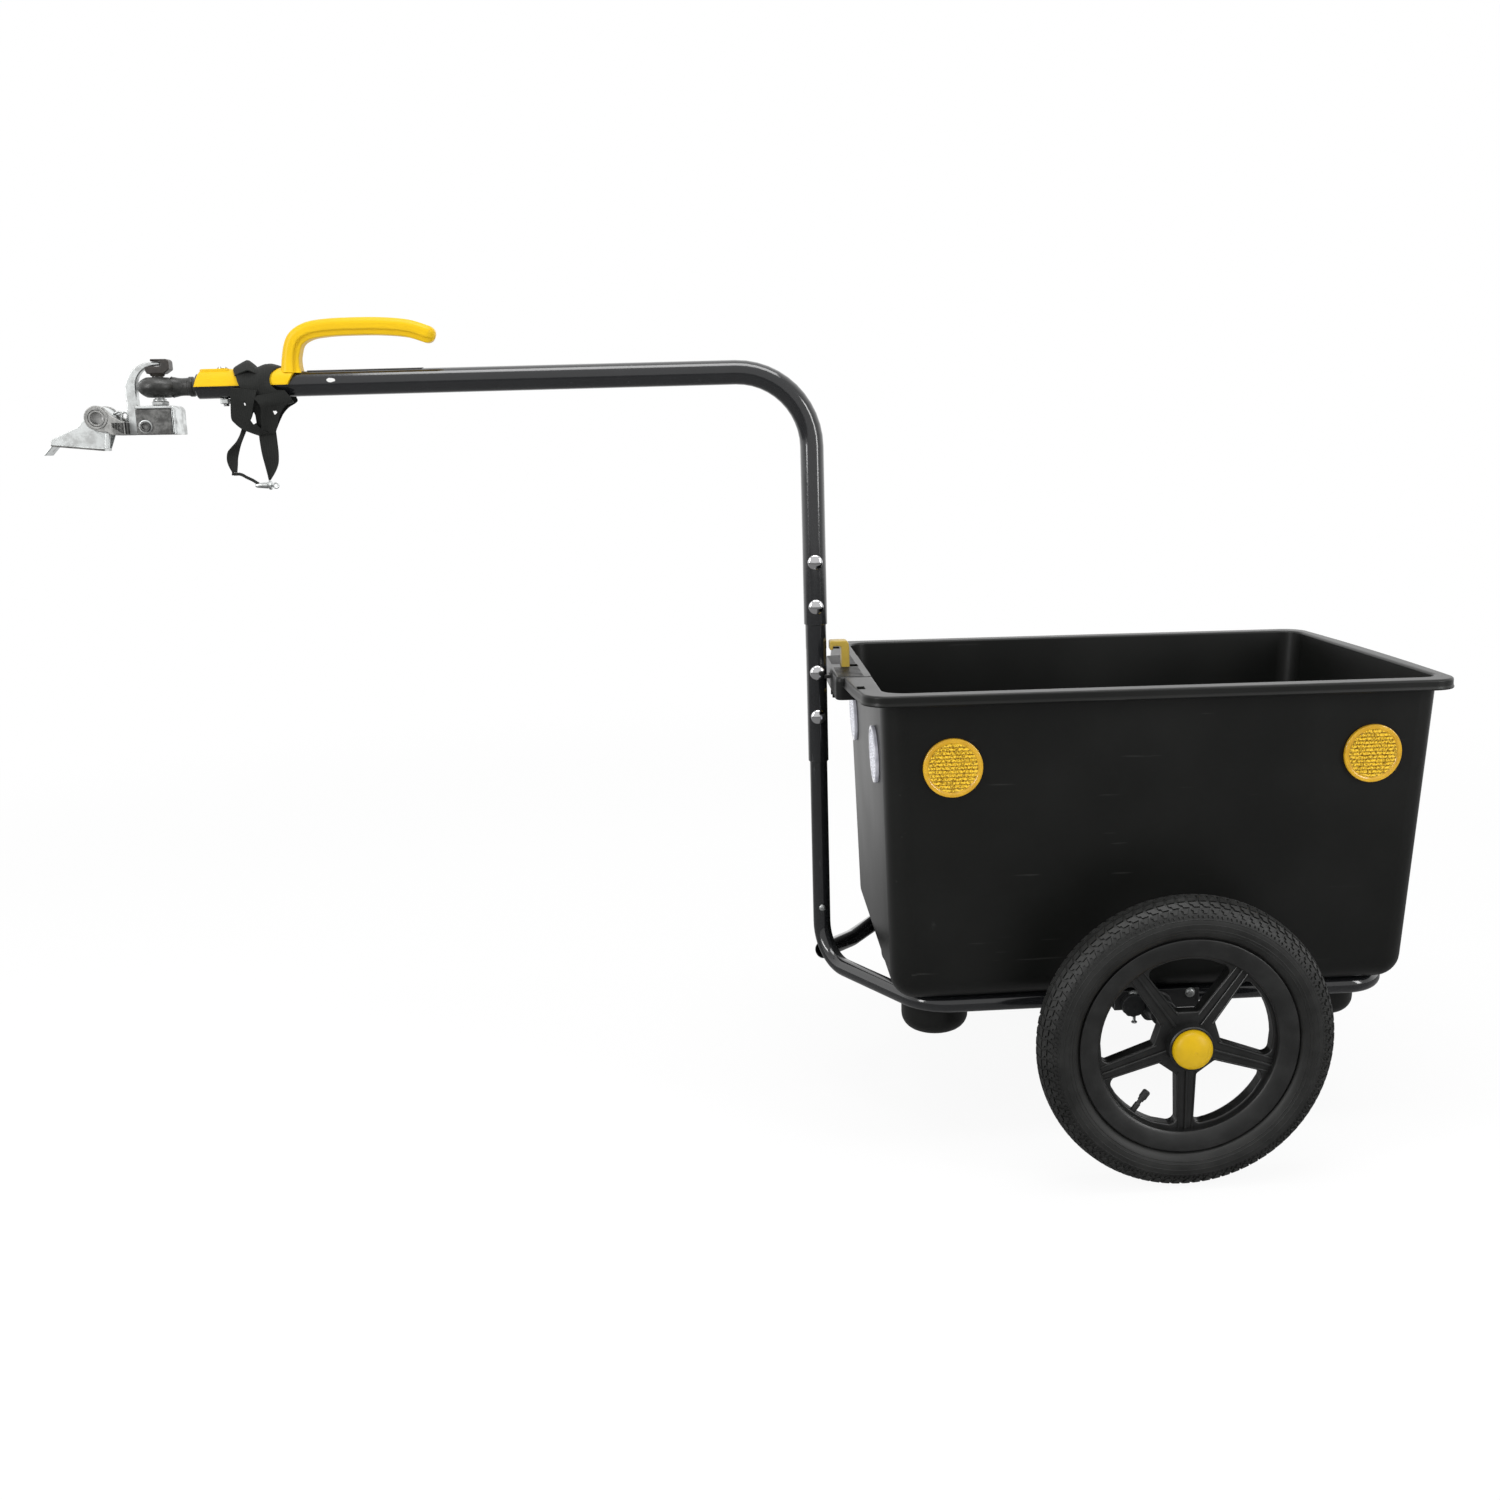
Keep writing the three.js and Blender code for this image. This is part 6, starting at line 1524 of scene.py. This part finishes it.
dress("pivot_tube", pivot, fork_iron, "coupler", AT_EYE @ shift(FORK_X, 0, FORK_Z) @ LEFTWARD)
LEVER_HALF, SHEET = 0.0096, 0.0016
cheek_outline = mm((-108, -57), (-57, -62), (-50, -44.5), (-47.5, -30))
cheek_outline += arc(FORK_X, FORK_Z, 0.0115, 20, 160, 20) + mm((-80, -38.5), (-107.2, -50.3), (-108, -51.2))
flange = mm((-56, -60), (-51.5, -60.5), (-49.2, -44), (-53.5, -45))
lever_web = mm((-108, -55.4), (-108, -57.2), (-56.5, -62.4), (-56, -59.8))
lever_lip = mm((-107.6, -55.4), (-115, -63.8), (-116.2, -64.8), (-116, -66.2), (-114.6, -65.8), (-106.6, -57.2))
fold = mm((-64.5, -43), (-63.8, -42.2), (-54, -49), (-54.5, -50))
lever_shade_strip = mm((-108.1, -55.6), (-108.1, -57.3), (-56.2, -62.5), (-56, -60.7))
near_side, far_side = -LEVER_HALF, SHEET - LEVER_HALF
lever_part = together(
    side_slab([cheek_outline, lug_bore], near_side, far_side, 0.0004),
    side_slab([cheek_outline, lug_bore], LEVER_HALF - SHEET, LEVER_HALF, 0.0004),
    side_slab([flange], near_side - 0.001, far_side, 0.0005),
    side_slab([lever_web], near_side - 0.0004, LEVER_HALF, 0.0008, 4),
    side_slab([lever_lip], near_side, LEVER_HALF, 0.0005), side_slab([fold], near_side - 0.0005, far_side, 0.0002, 1),
    rod_y(washer(LUG_BORE, 0.0114, -0.0094, 0.0094, 48), FORK_X, FORK_Z),
)
dress("cam_lever", lever_part, zinc, "cam_lever", AT_EYE)
# A thin dark strip along the near edge of the lever's web is painted shade: the shadow under its folded lip, drawn in
# the darker cast iron.
shade_strip_part = side_slab([lever_shade_strip], -LEVER_HALF - 0.0009, -LEVER_HALF - 0.0005, 0.0001, 1)
dress("lever_shade_strip", shade_strip_part, shaded_block_iron, "cam_lever", AT_EYE, replaces=())
BAIL = 0.0012
bail_corners = mm((-38, -33.2), (-34, -21), (-44.5, -26))
near = [(x, -0.008, z) for x, z in bail_corners]
bail_route = near + [(x, -y, z) for x, y, z in near[::-1]]
bail_rows = sweep(bent_path(bail_route, [0.003] * 4, 8), [circle(BAIL, 16)] * 40)
dress("wire_bail", loft(bail_rows), zinc, "coupler", AT_EYE)


# The latch is a dull yellow plastic hook on a steel pin in the bin's housing; its top bar is the finger pull.
# Its nose sits under a black steel plate that lies round the stem's middle tube.
LATCH_X, PIN_X, PIN_Z = AXLE - 0.319, 0.002, -0.025
latch_outline = rounded(mm(
    (2, -30), (11.5, -30), (15.5, -20), (15.5, 26), (12.5, 29), (-5.7, 29), (-5.7, 19), (-2, 19), (-2, 23), (7, 23),
    (7, -13), (2, -13), (2, -18), (-3, -25),
), [0.003, 0.002, 0.003, 0.0035, 0.0035, 0.0022, 0.0015, 0.0012, 0.0012, 0.0028, 0.0012, 0.001, 0.001, 0.002], 5)
pin_hole = arc(PIN_X, PIN_Z, 0.0023, 0, 360, 24)[:-1]
latch_ribs = [
    brick(0.015, 0.0159, y - 0.0006, y + 0.0006, -0.012, 0.022, 0.0004, 0.0003)
    for y in (-0.0062, -0.0022, 0.0022, 0.0062)
]
latch_part = together(side_slab([latch_outline, pin_hole], -LATCH_HALF, LATCH_HALF, 0.0012, 3), *latch_ribs)
yellow_latch = clouded(
    "yellow_latch", (0.42, 0.3, 0.04), 0.42, dict(size=0.008, detail=5.0, rough=0.6), (0.34, 0.2),
    ((0.47, 0.335, 0.045), (0.32, 0.215, 0.03)), grain=dict(size=0.0009), height=0.00004,
)
at_latch = shift(LATCH_X, 0, RIM_TOP)
dress("bin_latch", latch_part, yellow_latch, "bin_latch", at_latch)
pin_profile = mm((0.3, -12.5), (1.6, -12.5), (2, -12.1), (2, 12.1), (1.6, 12.5), (0.3, 12.5))
dress("latch_pin", rod_y(turned(pin_profile, 24), PIN_X, PIN_Z), zinc, at=at_latch)
around_tube = disc(0.0115, CATCH_BOTTOM - 0.002, CATCH_TOP + 0.002, 64)
catch_plate = brick(STEM, CATCH_END, -CATCH_HALF, CATCH_HALF, CATCH_BOTTOM, CATCH_TOP, 0.0015, 0.0006)
catch_plate = combined("DIFFERENCE", catch_plate, moved(around_tube, shift(STEM, 0, 0)))
dress("stem_catch", catch_plate, steel)
